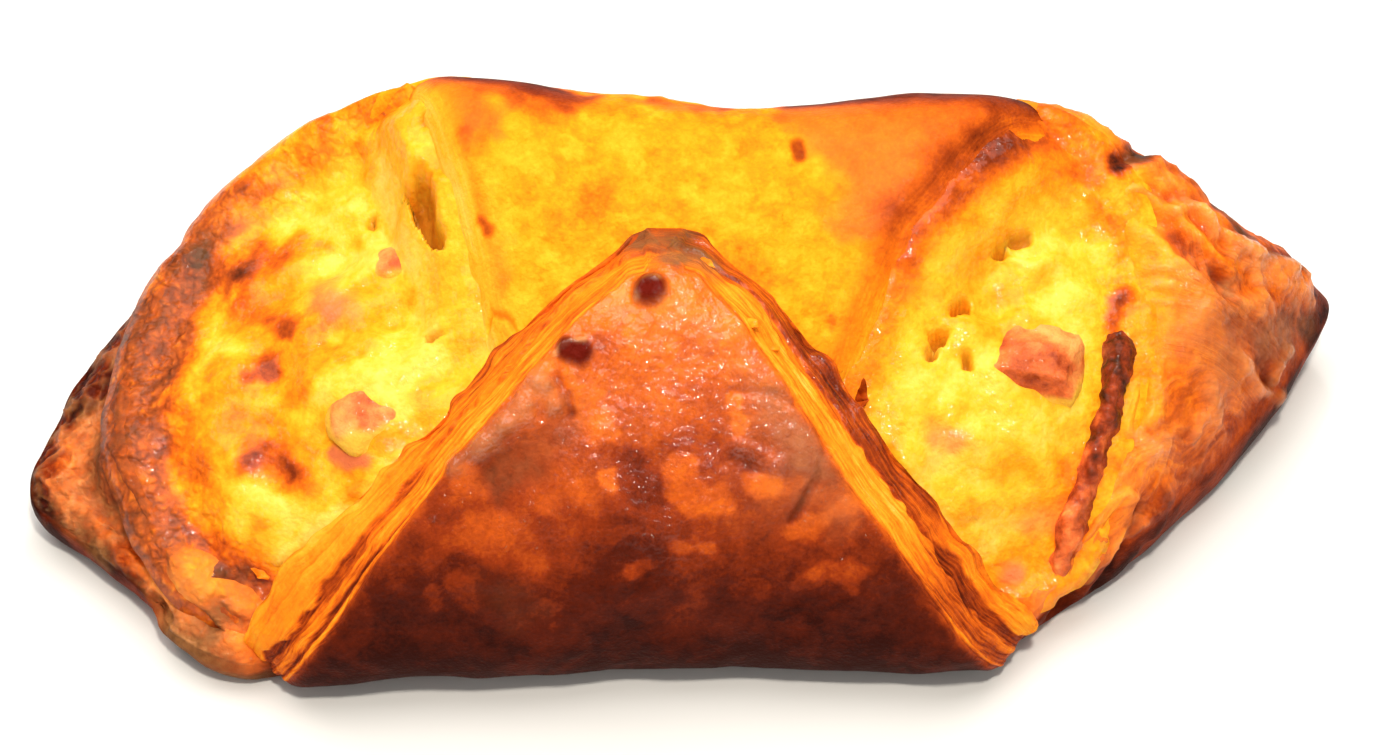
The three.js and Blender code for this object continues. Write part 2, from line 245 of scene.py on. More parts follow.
# ---- Places named by the photograph's pixels ----
def camera_axes():
    tilt = math.radians(CAMERA_ELEVATION)
    back = np.array([0, -math.cos(tilt), math.sin(tilt)])
    right = np.array([1.0, 0, 0])
    return CAMERA_TARGET + back * CAMERA_DISTANCE, right, np.cross(back, right), back


EYE, EYE_RIGHT, EYE_UP, EYE_BACK = camera_axes()
PIXELS_PER_SLOPE = LENS / SENSOR_WIDTH * PHOTO_WIDTH


def solid_tree():
    """The CAD solids together, for finding what a ray meets."""
    spots, faces = [], []
    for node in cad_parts.values():
        faces += [[len(spots) + i for i in face.vertices] for face in node.data.polygons]
        spots += [vertex.co / MM for vertex in node.data.vertices]
    return BVHTree.FromPolygons(spots, faces)


SOLIDS = solid_tree()
# Distances from the camera, mm, at which a ray that just misses the solids looks for their nearest place.
MISS_DISTANCES = np.linspace(350, 500, 151)


def on_surface(pixel):
    """The point of the solids that a pixel of the photograph shows, in the dough's millimetres."""
    x, y = (pixel[0] - PHOTO_WIDTH / 2) / PIXELS_PER_SLOPE, (PHOTO_HEIGHT / 2 - pixel[1]) / PIXELS_PER_SLOPE
    ray = EYE_RIGHT * x + EYE_UP * y - EYE_BACK
    spot = SOLIDS.ray_cast(Vector(EYE), Vector(ray))[0]
    if spot is None:
        passing = [SOLIDS.find_nearest(Vector(EYE + ray * t)) for t in MISS_DISTANCES]
        spot = min(passing, key=lambda found: found[3])[0]
    return np.array(spot) - DOUGH_MIDDLE


def to_pixels(points):
    """Where the photograph shows points of the dough."""
    seen = points + DOUGH_MIDDLE - EYE
    depth = -(seen @ EYE_BACK)
    return np.stack([PHOTO_WIDTH / 2 + PIXELS_PER_SLOPE * (seen @ EYE_RIGHT) / depth,
                     PHOTO_HEIGHT / 2 - PIXELS_PER_SLOPE * (seen @ EYE_UP) / depth], axis=-1)


def distance_to_line(points, line):
    """Distance of each point to a line of points, and how far along it the nearest place is, 0 to 1."""
    best = np.full(len(points), np.inf)
    along = np.zeros(len(points))
    spans = list(zip(line, line[1:])) or [(line[0], line[0])]
    for i, (a, b) in enumerate(spans):
        t = np.clip((points - a) @ (b - a) / max((b - a) @ (b - a), 1e-9), 0, 1)
        distance = np.linalg.norm(points - a - t[:, None] * (b - a), axis=1)
        along = np.where(distance < best, (i + t) / len(spans), along)
        best = np.minimum(best, distance)
    return best, along


def depth_inside(points, outline):
    """How far points lie inside a closed outline on the photograph, in pixels, negative outside."""
    outline = np.array(outline, float)
    seen = to_pixels(points)
    distance, _ = distance_to_line(seen, np.concatenate([outline, outline[:1]]))
    crossings = np.zeros(len(points), int)
    for (ax, ay), (bx, by) in zip(outline, np.roll(outline, -1, axis=0)):
        spans = (ay > seen[:, 1]) != (by > seen[:, 1])
        meets = ax + (seen[:, 1] - ay) * (bx - ax) / (by - ay if by != ay else 1)
        crossings += spans & (seen[:, 0] < meets)
    return np.where(crossings % 2 == 1, distance, -distance)


def mark(line, width, hard=0.0, ragged=0.25, **amounts):
    """A spot, stripe or ridge along pixels of the photograph. width is its half width in mm, hard runs from a
    soft hill (0) to a sharp edge (1), and amounts are what it adds: height in mm, or a tint."""
    return {"line": line, "width": width, "hard": hard, "ragged": ragged, "amounts": amounts}


# rosy paints a soft sheen and pale mostly highlights; brown in creases and pits is painted shade.
MARK_AMOUNTS = ("height", "brown", "red", "pink", "grey", "glaze", "olive", "rosy", "pale")


def marked(points, marks):
    """What marks add to points: a dictionary of amounts."""
    total = {name: 0.0 for name in MARK_AMOUNTS}
    for seed, each in enumerate(marks.values()):
        line = [on_surface(pixel) for pixel in each["line"]]
        distance, _ = distance_to_line(points, line)
        near = distance < 3 * each["width"]
        width = each["width"]
        wavy = distance[near] + each["ragged"] * width * noise(points[near], max(width, 1.5), seed)
        share = np.zeros(len(points))
        share[near] = 1 - smooth(each["hard"], 2 - each["hard"], wavy / width)
        for name, amount in each["amounts"].items():
            total[name] = total[name] + amount * share
    return total


# ---- Dough: sizes shared with the solids ----
FLOOR_THICKNESS = 5.5
FLAP_THICKNESS = 7.2
FOLD_THICKNESS = 5.2
FOOT_SHARE = 0.94
FLOOR_END = 0.72
FILLING_TOP = 30.0

OUTLINE = [
    (-77, -8.8, 7), (-70.8, -14.6, 6), (-62, -22.8, 6), (-60, -26, 5), (-52, -30.5, 4), (-42, -29, 4),
    (-20, -27.5, 4), (5, -26, 4), (27, -26.5, 4), (36.5, -26, 4), (41, -23.4, 6),
    (48, -17.8, 8), (56.5, -10, 8.5), (64.5, -0.8, 9), (71.5, 9.2, 9), (75.8, 19.6, 9),
    (69.4, 22.9, 10.3), (59.5, 27.2, 12.6), (47, 31.5, 14), (20, 31, 12), (-8, 31, 12),
    (-33, 34.5, 14), (-46, 33, 14), (-57.5, 28, 12), (-66, 18.5, 10), (-74, 5, 8),
]
RIM = [
    (52, 2.5, 23), (52.3, 13, 27.3), (48.5, 21.5, 32.2), (38, 25.5, 36), (20, 25.5, 35), (-10, 26, 35),
    (-27, 29, 37.5), (-35, 29.4, 35.2), (-44.5, 28.6, 29.3), (-53, 24.6, 24), (-59.5, 17.2, 20.2),
    (-63.8, 5, 18), (-65, -4, 16.5), (-62.8, -13, 14), (-58, -21, 11), (-50, -25.5, 8.5), (-20, -25, 7),
    (20, -24, 7), (36, -23.5, 8), (41.5, -20.5, 10), (46.5, -13, 15.5), (50, -5, 20),
]
# Share of the left wing's step down to its lower tier, over degrees from +X.
TIER = table([(-180, 1), (-158, 0.85), (-140, 0.25), (-120, 0), (120, 0), (150, 0.15), (166, 0.75), (180, 1)])


def polar(line):
    """Reads a closed line as distance and height over the angle in radians."""
    x, y, z = centripetal(line, closed=True).T
    turn = np.arctan2(y, x)
    order = np.argsort(turn)

    def read(angle):
        return (np.interp(angle, turn[order], np.hypot(x, y)[order], period=2 * np.pi),
                np.interp(angle, turn[order], z[order], period=2 * np.pi))

    return read


edge_at = polar(OUTLINE)
rim_at = polar(RIM)


def profile(points):
    """A flap's line in the YZ plane: its length, and its place and direction over the share of it."""
    dense = centripetal(points, steps=120)
    steps = np.linalg.norm(np.diff(dense, axis=0), axis=1)
    share = np.concatenate([[0], np.cumsum(steps)])
    length = share[-1]
    share /= length
    heading = np.gradient(dense, share, axis=0)
    heading /= np.linalg.norm(heading, axis=1, keepdims=True)

    def read(rows, at):
        return np.stack([np.interp(at, share, rows[:, i]) for i in range(2)], axis=-1)

    return {"length": length, "place": lambda at: read(dense, at), "heading": lambda at: read(heading, at)}


FRONT = {
    "profile": profile([(-18, 1.2), (-26.5, 0.6), (-31.4, 3.6), (-32.8, 10), (-29.8, 18.5),
                        (-22.5, 28), (-13.5, 36.6), (-5, 42), (3, 44.5)]),
    "side": 1,
    "left": table([(0.1, -49), (0.2, -51.5), (0.3, -50.5), (0.4, -47), (0.5, -41), (0.65, -29.8),
                   (0.85, -17.5), (1, -8.8)]),
    "right": table([(0.12, 37.5), (0.2, 38.5), (0.3, 36), (0.45, 30.5), (0.65, 19.8), (0.85, 10), (1, 2)]),
    "left_step": table([(0.1, 2), (0.2, 5.5), (0.28, 7.8), (0.37, 9.6), (0.47, 9), (0.56, 7.6), (0.65, 6.1),
                        (0.75, 6.3), (0.85, 6.8), (1, 7)]),
    "right_step": table([(0.1, 1.5), (0.25, 6), (0.45, 8.2), (0.65, 8), (0.85, 6.8), (1, 6.5)]),
    "tip": 0.25,
    "tip_loss": 0.55,
    "tip_step": 8.5,
    "sway": table([(-52, -2), (-32, -0.8), (5, 0.8), (26, 0.2), (40, 0.8)]),
    "lift": table([(-52, 0), (40, 0)]),
    "rounding": 2.0,  # of the corners between its faces, in points of a ring
}
BACK = {
    "profile": profile([(17, 1.2), (25.5, 0.8), (30.5, 5), (32, 14), (31, 24), (27.3, 33),
                        (20.5, 39), (12, 38), (1, 34), (-9, 29.5), (-17, 23)]),
    "side": -1,
    "left": table([(0.4, -36.5), (0.55, -34), (0.7, -29.5), (0.85, -26), (1, -23)]),
    "right": table([(0.4, 45), (0.5, 43), (0.6, 37), (0.72, 29.5), (0.85, 24), (1, 20)]),
    "left_step": table([(0.4, 2), (0.7, 4.5), (1, 4.5)]),
    "right_step": table([(0.4, 1), (0.55, 5), (0.7, 7.5), (1, 8)]),
    "tip": 0.1,
    "tip_loss": 0.8,
    "tip_step": 5.0,
    "sway": table([(-36, 4.2), (-26, 3.4), (-8, 0.8), (12, -0.7), (30, 0.8), (46, 0)]),
    "lift": table([(-36, 2.2), (-26, 1.8), (-8, 0.2), (10, 0), (24, 1), (46, 1.2)]),
    "rounding": 7.0,
}


TIP_START = 0.95  # share of a flap's length from which its end is rounded
ROOT_ROUNDING = 5.0  # of the corners between a flap's faces at its root, in points of a ring
FLAP_CROWN = 1.4  # how far the middle of a flap's outer face stands out, mm


def flap_points(flap, u, v, w):
    """Points of a flap: u from left to right, v from its root to its tip, w from its inside to its outside.
    Its end stays back by tip_step on the outside, and loses the share tip_loss of its width in rounding."""
    length = flap["profile"]["length"]
    along = np.clip(v * (1 - flap["tip_step"] / length * w), 0, 1)
    middle_y, middle_z = np.moveaxis(flap["profile"]["place"](along), -1, 0)
    head_y, head_z = np.moveaxis(flap["profile"]["heading"](along), -1, 0)
    rounding = 1 - np.sqrt(1 - np.clip((v - TIP_START) / (1 - TIP_START), 0, 1) ** 2)
    tip = np.maximum(flap["tip"] * smooth(0.88, 1, v) ** 2, flap["tip_loss"] * rounding)
    inner_left, inner_right = flap["left"](along), flap["right"](along)
    middle = (inner_left + inner_right) / 2
    left = lerp(inner_left + flap["left_step"](along) * w, middle, tip)
    right = lerp(inner_right - flap["right_step"](along) * w, middle, tip)
    x = lerp(left, right, u)
    thickness = lerp(FOLD_THICKNESS, FLAP_THICKNESS, smooth(0.12, 0.36, along))
    crown = FLAP_CROWN * np.sin(np.pi * u) * smooth(0.15, 0.45, along) * (1 - smooth(0.75, 1, along))
    out = crown * w - (1 - w) * thickness
    side = flap["side"]
    y = middle_y - side * head_z * out + flap["sway"](x) * (1 - smooth(0.5, 0.95, along))
    lift = flap["lift"](x) * smooth(0.1, 0.45, along) * (1 - smooth(0.6, 0.9, along))
    return np.stack([x, y, np.maximum(middle_z + side * head_y * out + lift, 0)], axis=-1)


TIP_BULGE = 1.2  # how far the leaves at a flap's tip stand out, mm
TIP_SHARES = (0.1, 0.25, 0.42, 0.6, 0.8)  # where the rings that close it lie, from its edge to its middle


def flap_mesh(name, flap, stations, face, side, under):
    """A flap as a loft from its root to its tip. Returns the mesh and, for its vertices, u, v, w and how far
    they belong to the cut edges and to the outer face."""
    down = np.linspace(1, 0, side + 2)[1:-1]
    u = np.concatenate([np.linspace(0, 1, face), np.ones(side), np.linspace(1, 0, under), np.zeros(side)])
    w = np.concatenate([np.ones(face), down, np.zeros(under), down[::-1]])
    v = np.linspace(0, 1, stations)
    grid_u, grid_v, grid_w = (np.broadcast_to(a, (stations, len(u))) for a in (u[None], v[:, None], w[None]))
    rings = flap_points(flap, grid_u, grid_v, grid_w)
    root = 1 - smooth(0.15, 0.32, v)[:, None, None]
    rings = lerp(eased(rings, flap["rounding"]), eased(rings, max(ROOT_ROUNDING, flap["rounding"])), root)
    cut = eased(((grid_w > 0.001) & (grid_w < 0.999)).astype(float), flap["rounding"])
    outside = eased((grid_w > 0.999).astype(float), flap["rounding"])
    last = rings[-1]
    ahead = np.array([0, *flap["profile"]["heading"](1.0)])
    caps = [lerp(last, last.mean(0), t) + ahead * TIP_BULGE * math.sqrt(t * (2 - t)) for t in TIP_SHARES]
    rings = np.concatenate([rings, np.stack(caps)])

    def extend(grid, centre):
        """The grid with rows for the rings that close the tip, which run to the value at its centre."""
        return np.concatenate([grid, [lerp(grid[-1], centre, t) for t in TIP_SHARES]])

    rows = (extend(grid_u, 0.5), extend(grid_v, 1.0), extend(grid_w, 0.5), extend(cut, 1.0),
            extend(outside, 0.0))
    return lofted(name, rings), *(ring_values(row) for row in rows)


LEAF_EDGE = 0.018  # how soft the rim of a leaf is, share of the flap's thickness


def leafed(along, w, high, leaves, seed):
    """Relief in mm and brownness of a cut edge. Each leaf is where it starts in the thickness near the flap's
    root and near its tip, how ragged its rim is, its step in mm, and how brown it is near the root and near
    the tip."""
    relief, brown = np.zeros_like(w), np.zeros_like(w)
    for i, (low, top, ragged, step, brown_low, brown_top) in enumerate(leaves):
        spots = np.stack([along, np.full_like(w, 7.0 * i), np.full_like(w, seed)], axis=-1)
        edge = lerp(low, top, high) + 0.012 * noise(spots, 9, seed)
        edge += ragged * (noise(spots, 4.5, seed + 1) + 0.6 * noise(spots, 1.3, seed + 2))
        inside = smooth(edge - LEAF_EDGE, edge + LEAF_EDGE, w) if i else np.ones_like(w)
        relief += step * inside
        streaks = np.stack([along / 6, 5 * w + 3.0 * i, np.full_like(w, seed)], axis=-1)
        own = lerp(brown_low, brown_top, high) + 0.06 * noise(streaks, 1.0, seed + 3)
        brown = lerp(brown, own, inside)
        # The brown added along each leaf's rim is painted shade in the groove there.
        if i:
            brown += 0.09 * np.exp(-(((w - edge) / 0.016) ** 2))
            relief -= 0.08 * np.exp(-(((w - edge) / LEAF_EDGE) ** 2))
    return relief, brown


def patches(points, pitch, seed):
    """Irregular patches with fairly sharp borders, each of its own value from -1 to 1."""
    drift = np.stack([noise(points, 0.6 * pitch, seed + k) for k in range(3)], axis=-1)
    return 2 * bubbles(points + 0.28 * pitch * drift, pitch, seed)[1] - 1


# ---- Marks on the front flap ----
FRONT_MARKS = {
    "blister at the apex": mark([(650, 287)], 1.7, 0.5, 0.12, height=1.2, brown=0.3, red=0.98, glaze=-1.0),
    # The pale tint of the glints over the blisters is a painted highlight on a real glaze.
    "glint over the blister": mark([(636, 296), (637, 286), (645, 279), (657, 279)], 0.4, 0.2, 0.5,
        height=0.35, pale=1.4, glaze=1.4),
    "blister on the left": mark([(568, 346), (580, 352)], 1.2, 0.4, 0.2, height=0.8, brown=0.3, red=0.95,
        glaze=-1.0),
    "glint over the left blister": mark([(556, 352), (562, 345), (572, 340), (584, 340)], 0.38, 0.2, 0.5,
        height=0.35, pale=1.4, glaze=1.4),
    "red field by the blister": mark([(590, 352), (600, 350)], 1.6, 0.0, 0.5, brown=0.14),
    # The rosy and pale tints on the fold's ridge and shoulder are painted sheen on a glossy fold.
    "ridge of the fold": mark([(540, 380), (522, 408), (494, 436), (462, 464)], 1.2, 0.2, 0.3, height=1.2,
        rosy=0.6, pale=0.2, brown=0.03, glaze=1.0),
    "shoulder of the fold": mark([(548, 388), (556, 404)], 1.1, 0.2, 0.3, height=0.7, rosy=0.5, pale=0.15,
        glaze=0.8),
    # The brown that this crease adds is painted shade in it.
    "crease right of the fold": mark([(556, 376), (566, 394), (572, 414)], 0.5, 0.2, 0.3, height=-0.6,
        brown=0.16),
    # The hollow's brown is painted shade and its rosy share painted sheen.
    "hollow under the ridge": mark([(566, 428), (538, 450), (500, 478)], 2.5, 0.3, height=-0.7, brown=0.1,
        rosy=0.3, glaze=-0.4),
    # The brown of the dome's crease and upper edge is painted shade in them.
    "crease of the dome": mark([(795, 404), (814, 424), (823, 448), (816, 480), (792, 522)], 0.42, 0.1,
        0.15, height=-0.6, brown=0.12),
    "upper edge of the dome": mark([(735, 392), (765, 393), (795, 404)], 0.5, 0.0, 0.3, height=-0.5,
        brown=0.05),
    # The rosy tint on the dome and the band under it is painted sheen.
    "dome": mark([(772, 418), (795, 445), (778, 480)], 4.2, height=0.9, glaze=0.15, rosy=0.3),
    "rosy dome": mark([(772, 405), (800, 418), (806, 440)], 2.6, 0.1, 0.4, rosy=0.65, brown=0.05),
    "rosy band under the dome": mark([(830, 470), (836, 500)], 2.6, 0.1, 0.4, rosy=0.45),
    "amber lobe": mark([(682, 474), (694, 498), (712, 508)], 2.0, 0.75, 0.5, brown=-0.14),
    "amber square": mark([(751, 484), (769, 484)], 1.35, 0.7, 0.3, brown=-0.15),
    "amber by the dome": mark([(733, 405), (738, 422)], 1.3, 0.7, 0.5, brown=-0.14),
    "amber low right": mark([(812, 528), (835, 515)], 2.0, 0.65, 0.6, brown=-0.12),
    "amber lowest right": mark([(815, 578), (850, 580)], 1.4, 0.65, 0.6, brown=-0.13),
    "amber band left": mark([(482, 538), (510, 550), (528, 560)], 2.6, 0.5, 0.6, brown=-0.1),
    "amber drop": mark([(636, 568), (650, 562)], 1.1, 0.75, 0.4, brown=-0.14),
    "amber streak": mark([(678, 546), (706, 546)], 0.9, 0.7, 0.5, brown=-0.12),
    "amber square left": mark([(466, 476), (474, 486)], 1.5, 0.6, 0.3, brown=-0.12),
    "amber patch low left": mark([(464, 580), (470, 596)], 1.6, 0.75, 0.4, brown=-0.1),
    "amber drop low left": mark([(434, 592), (436, 604)], 1.0, 0.75, 0.3, brown=-0.1),
    "bright fleck": mark([(608, 478), (614, 488)], 1.1, 0.7, 0.5, brown=-0.18),
    "orange by the left blister": mark([(588, 410), (600, 424)], 1.8, 0.6, 0.4, brown=-0.12),
    "maroon patch left": mark([(505, 470), (545, 450)], 3.2, 0.2, 0.5, brown=0.06, glaze=-0.2),
    "maroon patch middle": mark([(635, 470), (645, 490)], 1.8, 0.2, 0.4, brown=0.08),
    "maroon low": mark([(610, 545), (650, 600)], 4.0, 0.3, 0.4, brown=0.09),
    "maroon square": mark([(676, 450), (690, 440)], 2.0, 0.3, 0.4, brown=0.06),
    "knob at the right corner": mark([(1012, 590), (1028, 606), (1036, 624)], 3.0, 0.0, 0.3, height=1.6,
        brown=-0.05),
    "rosy patch low": mark([(500, 596), (520, 612)], 2.4, 0.2, 0.4, rosy=0.07),
    "olive tip": mark([(640, 236), (655, 230), (680, 244), (696, 256)], 2.4, 0.1, 0.4, olive=1.6,
        brown=0.3),
    "dark crest of the tip": mark([(664, 226), (690, 234), (712, 250)], 1.2, 0.1, 0.5, brown=0.5,
        olive=0.5),
    "white fleck of the tip": mark([(652, 238), (652, 252)], 0.4, 0.2, 0.3, height=0.2, brown=-0.2,
        glaze=0.8),
    # Painted shade in the crease under the dome.
    "crease under the dome": mark([(735, 458), (755, 468)], 1.0, 0.0, 0.3, height=-0.5, brown=0.1),
    "dome's highlight": mark([(738, 448), (752, 452), (775, 465)], 0.9, 0.0, 0.3, height=0.6, glaze=0.6),
    "hollow left of the middle": mark([(640, 475), (655, 500)], 2.2, 0.0, 0.4, height=-0.5),
    "bump right of the middle": mark([(700, 470), (712, 490)], 2.4, 0.0, 0.4, height=0.4, glaze=0.2),
    "glossy middle": mark([(600, 480), (660, 520)], 4.0, 0.0, 0.5, glaze=0.25),
    "glossy left": mark([(500, 490), (545, 520)], 3.5, 0.0, 0.5, glaze=0.1),
    # The lighter brown and rosy tint of the glossy right edge are a painted highlight.
    "glossy right edge": mark([(672, 296), (700, 320), (735, 352), (765, 380)], 1.7, 0.0, 0.4, height=0.4,
        brown=-0.1, rosy=0.25, glaze=0.6),
    # The brown in the crack is painted shade.
    "crack on the face": mark([(556, 380), (562, 396), (572, 412)], 0.35, 0.0, 0.3, height=-0.3,
        brown=0.16),
}
# How brown the glazed face is over its height, mm.
FRONT_BROWN = table([(0, 1.03), (6, 1.0), (12, 0.95), (18, 0.86), (24, 0.74), (30, 0.62), (36, 0.49),
                     (43, 0.4)])


# The leaves of its cut edges, from the mouth's side to the glazed side.
FRONT_LEAVES_LEFT = [
    (0.00, 0.00, 0.0, 0.0, 0.27, 0.56), (0.08, 0.12, 0.03, 0.14, 0.24, 0.50),
    (0.17, 0.30, 0.03, 0.06, 0.32, 0.47), (0.30, 0.40, 0.02, 0.05, 0.33, 0.40),
    (0.53, 0.50, 0.06, -0.5, 0.72, 0.33), (0.65, 0.60, 0.02, 0.1, 0.50, 0.26),
    (0.72, 0.69, 0.015, 0.1, 0.36, 0.38), (0.79, 0.77, 0.015, -0.1, 0.42, 0.26),
    (0.85, 0.85, 0.01, -0.2, 0.78, 0.40), (0.885, 0.89, 0.01, 0.3, 0.33, 0.28),
    (0.955, 0.95, 0.008, -0.1, 0.66, 0.46)]
FRONT_LEAVES_RIGHT = [
    (0.00, 0.00, 0.0, 0.0, 0.36, 0.58), (0.14, 0.09, 0.03, 0.1, 0.33, 0.70),
    (0.36, 0.40, 0.04, -0.35, 0.74, 0.46), (0.50, 0.47, 0.05, 0.3, 0.58, 0.28),
    (0.60, 0.57, 0.02, 0.05, 0.50, 0.23), (0.70, 0.67, 0.015, -0.08, 0.60, 0.32),
    (0.80, 0.78, 0.015, 0.08, 0.60, 0.24), (0.88, 0.87, 0.01, 0.25, 0.38, 0.30),
    (0.925, 0.95, 0.01, -0.2, 0.70, 0.52)]


def front_flap(material):
    mesh, u, v, w, cut, face = flap_mesh("dough_front_flap", FRONT, stations=275, face=150, side=66, under=24)
    form = coordinates(mesh)
    along = v * FRONT["profile"]["length"]
    marks = marked(form, FRONT_MARKS)
    upper = smooth(26, 35, form[:, 2])
    crinkle = 0.11 * upper * (ridged(form, 2.0, 3) + 0.8 * ridged(form, 1.0, 4))
    relief = 0.4 * noise(form, 11, 1) + 0.2 * noise(form, 5, 2) + 0.06 * rough(form, 2.2, 2, 3) + crinkle
    on_left = 1 - smooth(0.3, 0.7, u)
    high = lerp(smooth(0.36, 0.6, v), smooth(0.45, 0.75, v), on_left)
    left_relief, left_brown = leafed(along, w, high, FRONT_LEAVES_LEFT, 4)
    right_relief, right_brown = leafed(along, w, high, FRONT_LEAVES_RIGHT, 8)
    root = 1 - smooth(0.16, 0.3, v)
    layers = lerp(right_relief, left_relief, on_left) * (1 - 0.6 * root)
    layers += 0.25 * noise(form, 7, 7) + lerp(0.12, 0.4, root) * rough(form, 2, 2, 8)
    layers += (1 - smooth(0.0, 0.35, w)) * (0.7 * noise(form, 5.5, 11) + 0.4 * noise(form, 2.2, 12))
    skin = face + 0.6 * cut
    push(mesh, face * relief + skin * marks["height"] + cut * (layers - 0.3))
    amber = smooth(0.35, 0.6, patches(form, 5.2, 5)) * smooth(6, 12, form[:, 2])
    brown = FRONT_BROWN(form[:, 2]) + 0.05 * rough(form, 7, 3, 6)
    brown = brown + 0.02 * patches(form, 3.4, 6) - 0.045 * amber
    cut_brown = lerp(right_brown, left_brown, on_left) + 0.07 * rough(form, 5, 3, 9)
    cut_brown += 0.1 * root * rough(form, 4, 3, 10) + 0.45 * (1 - smooth(0.5, 5, form[:, 2]))
    brown = lerp(cut_brown, brown, face) + skin * marks["brown"]
    gloss = lerp(0.12, 0.9, upper) * smooth(8, 28, form[:, 2]) + marks["glaze"]
    dark_leaf = cut * (1 - on_left) * smooth(0.5, 0.7, v)
    dark_leaf = dark_leaf * smooth(0.05, 0.15, w) * (1 - smooth(0.36, 0.46, w))
    glaze = np.clip(face * gloss + cut * (0.05 + marks["glaze"]) + 0.6 * dark_leaf, 0, 1)
    lip = on_left * cut * (1 - smooth(0.5, 0.6, w)) * (1 - smooth(0.5, 0.7, v))
    wavy = w + 0.035 * noise(form, 6, 13) + 0.02 * noise(form, 2.2, 14)
    return finished(mesh, "crust", material, ["pastry"], brown=brown, red=marks["red"] * face,
                    cut=cut * (1 - 0.65 * lip), leaf=wavy, along=along, egg=cut * 0.35,
                    grey=np.clip(marks["olive"] * skin, 0, 1), rosy=np.clip(marks["rosy"] * face, 0, 1),
                    pale=np.clip(marks["pale"] * face, 0, 1), glaze=glaze,
                    pebble=0.15 * face * upper + 0.5 * cut * root)


# ---- Marks on the back flap ----
# Where the glaze is missing and the baked egg wash shows rough and yellow, pixels of the photograph.
UNGLAZED = [(462, 136), (474, 122), (560, 106), (605, 92), (700, 94), (762, 110), (800, 152), (838, 200),
            (880, 240), (892, 300), (890, 420), (500, 420), (496, 330), (488, 235), (480, 200)]
# The fold at its right edge, which the cheese that climbs there shares.
FOLD_MARKS = {
    "ridge": mark([(1008, 150), (980, 168), (950, 196), (926, 226), (910, 256)], 1.5, 0.0, 0.2, height=1.1,
        brown=0.08, glaze=0.1),
    # The brown in the crease by the ridge is painted shade in it.
    "crease by the ridge": mark([(1018, 160), (990, 182), (964, 208), (942, 236), (926, 268)], 0.8, 0.0,
        0.2, height=-0.8, brown=0.2),
    "red valley": mark([(1000, 138), (950, 168), (914, 205)], 2.6, brown=0.2),
    "red valley's start": mark([(1030, 132), (990, 140), (955, 156)], 1.6, height=-0.4, brown=0.12),
    "rosy foot of the ridge": mark([(895, 215), (890, 255)], 2.4, brown=0.12),
}
BACK_MARKS = {
    "orange top on the left": mark([(480, 70), (520, 80), (545, 92)], 4.5, 0.2, 0.4, brown=0.24),
    "orange left side": mark([(474, 100), (480, 150)], 1.4, 0.0, 0.5, brown=0.1),
    "red spot": mark([(797, 143), (799, 155)], 0.7, 0.4, 0.3, height=-0.3, brown=0.4, red=0.6),
    "red line on the left": mark([(462, 130), (468, 160), (474, 190), (482, 215)], 0.7, brown=0.22),
    "red spot on the left": mark([(478, 220), (486, 228)], 0.8, 0.3, 0.4, brown=0.35, red=0.4),
    "small flake": mark([(832, 318), (832, 328)], 0.5, 0.4, 0.3, brown=0.22),
    # The brown in the crack is painted shade in it.
    "crack": mark([(480, 356), (486, 330), (492, 314), (508, 318), (514, 330)], 0.35, 0.2, 0.2, height=-0.4,
        brown=0.2),
    "dark crest on the left": mark([(440, 72), (490, 80), (540, 88)], 3.2, brown=0.04),
    "dark crest on the right": mark([(800, 104), (930, 98), (1000, 100), (1050, 110)], 2.6, brown=0.24),
}

# How brown its glazed face is over its length, from the floor behind to its tip.
BACK_BROWN = table([(0.2, 0.85), (0.34, 0.8), (0.46, 0.78), (0.52, 0.66), (0.57, 0.5), (0.64, 0.41),
                    (1, 0.37)])


def back_flap(material):
    mesh, u, v, w, cut, face = flap_mesh("dough_back_flap", BACK, stations=250, face=180, side=38, under=24)
    form = coordinates(mesh)
    along = v * BACK["profile"]["length"]
    seen = smooth(0.5, 0.54, v)
    marks = marked(form, {**BACK_MARKS, **FOLD_MARKS})
    ragged = 16 * noise(form, 5, 11) + 9 * noise(form, 1.8, 12)
    egg = smooth(-18, 12, depth_inside(form, UNGLAZED) + ragged) * seen * face
    porous = 0.22 * rough(form, 3.0, 3, 13) - 0.22 * (1 - smooth(0.1, 0.35, bubbles(form, 2.0, 14)[0]))
    relief = 0.5 * noise(form, 13, 1) + 0.12 * noise(form, 5, 2) + egg * (porous + 0.1)
    streaks = np.stack([along / 14, 4 * w, 3.0 * (u > 0.5)], axis=-1)
    strands = 0.1 * noise(streaks, 1.0, 15) + 0.3 * noise(form, 8, 16)
    skin = np.clip(face + cut, 0, 1)
    push(mesh, face * relief + cut * strands + skin * marks["height"])
    glazed = BACK_BROWN(v) + 0.06 * rough(form, 8, 3, 16)
    yellow = 0.33 + 0.1 * rough(form, 5, 4, 17) + 0.05 * patches(form, 2.2, 18) - 0.4 * marks["brown"]
    left_cut = lerp(0.1, 0.16, smooth(0.6, 1.0, w)) + 0.05 * noise(form, 6, 18)
    right_cut = lerp(0.32, 0.46, smooth(0.45, 1.0, w)) + 0.05 * noise(form, 6, 19)
    cut_brown = np.where(u < 0.5, left_cut, right_cut) + lerp(0.35, 0, seen)
    cut_brown += 0.05 * noise(streaks * [1, 2.4, 1], 1.0, 20)
    brown = lerp(cut_brown, lerp(glazed, yellow, egg), face) + skin * marks["brown"]
    glaze = face * (1 - egg) * 0.12 * smooth(0.55, 0.68, v) + 0.04 * cut + marks["glaze"] * skin
    return finished(mesh, "crust", material, ["pastry"], brown=brown, red=marks["red"] * face, cut=0.3 * cut,
                    leaf=w + 0.03 * noise(form, 5, 21), along=along,
                    egg=np.maximum(egg, cut * np.where(u < 0.5, 1.0, 0.85)),
                    rosy=np.clip(marks["rosy"], 0, 1) * skin, glaze=glaze, pebble=0.3 * egg)
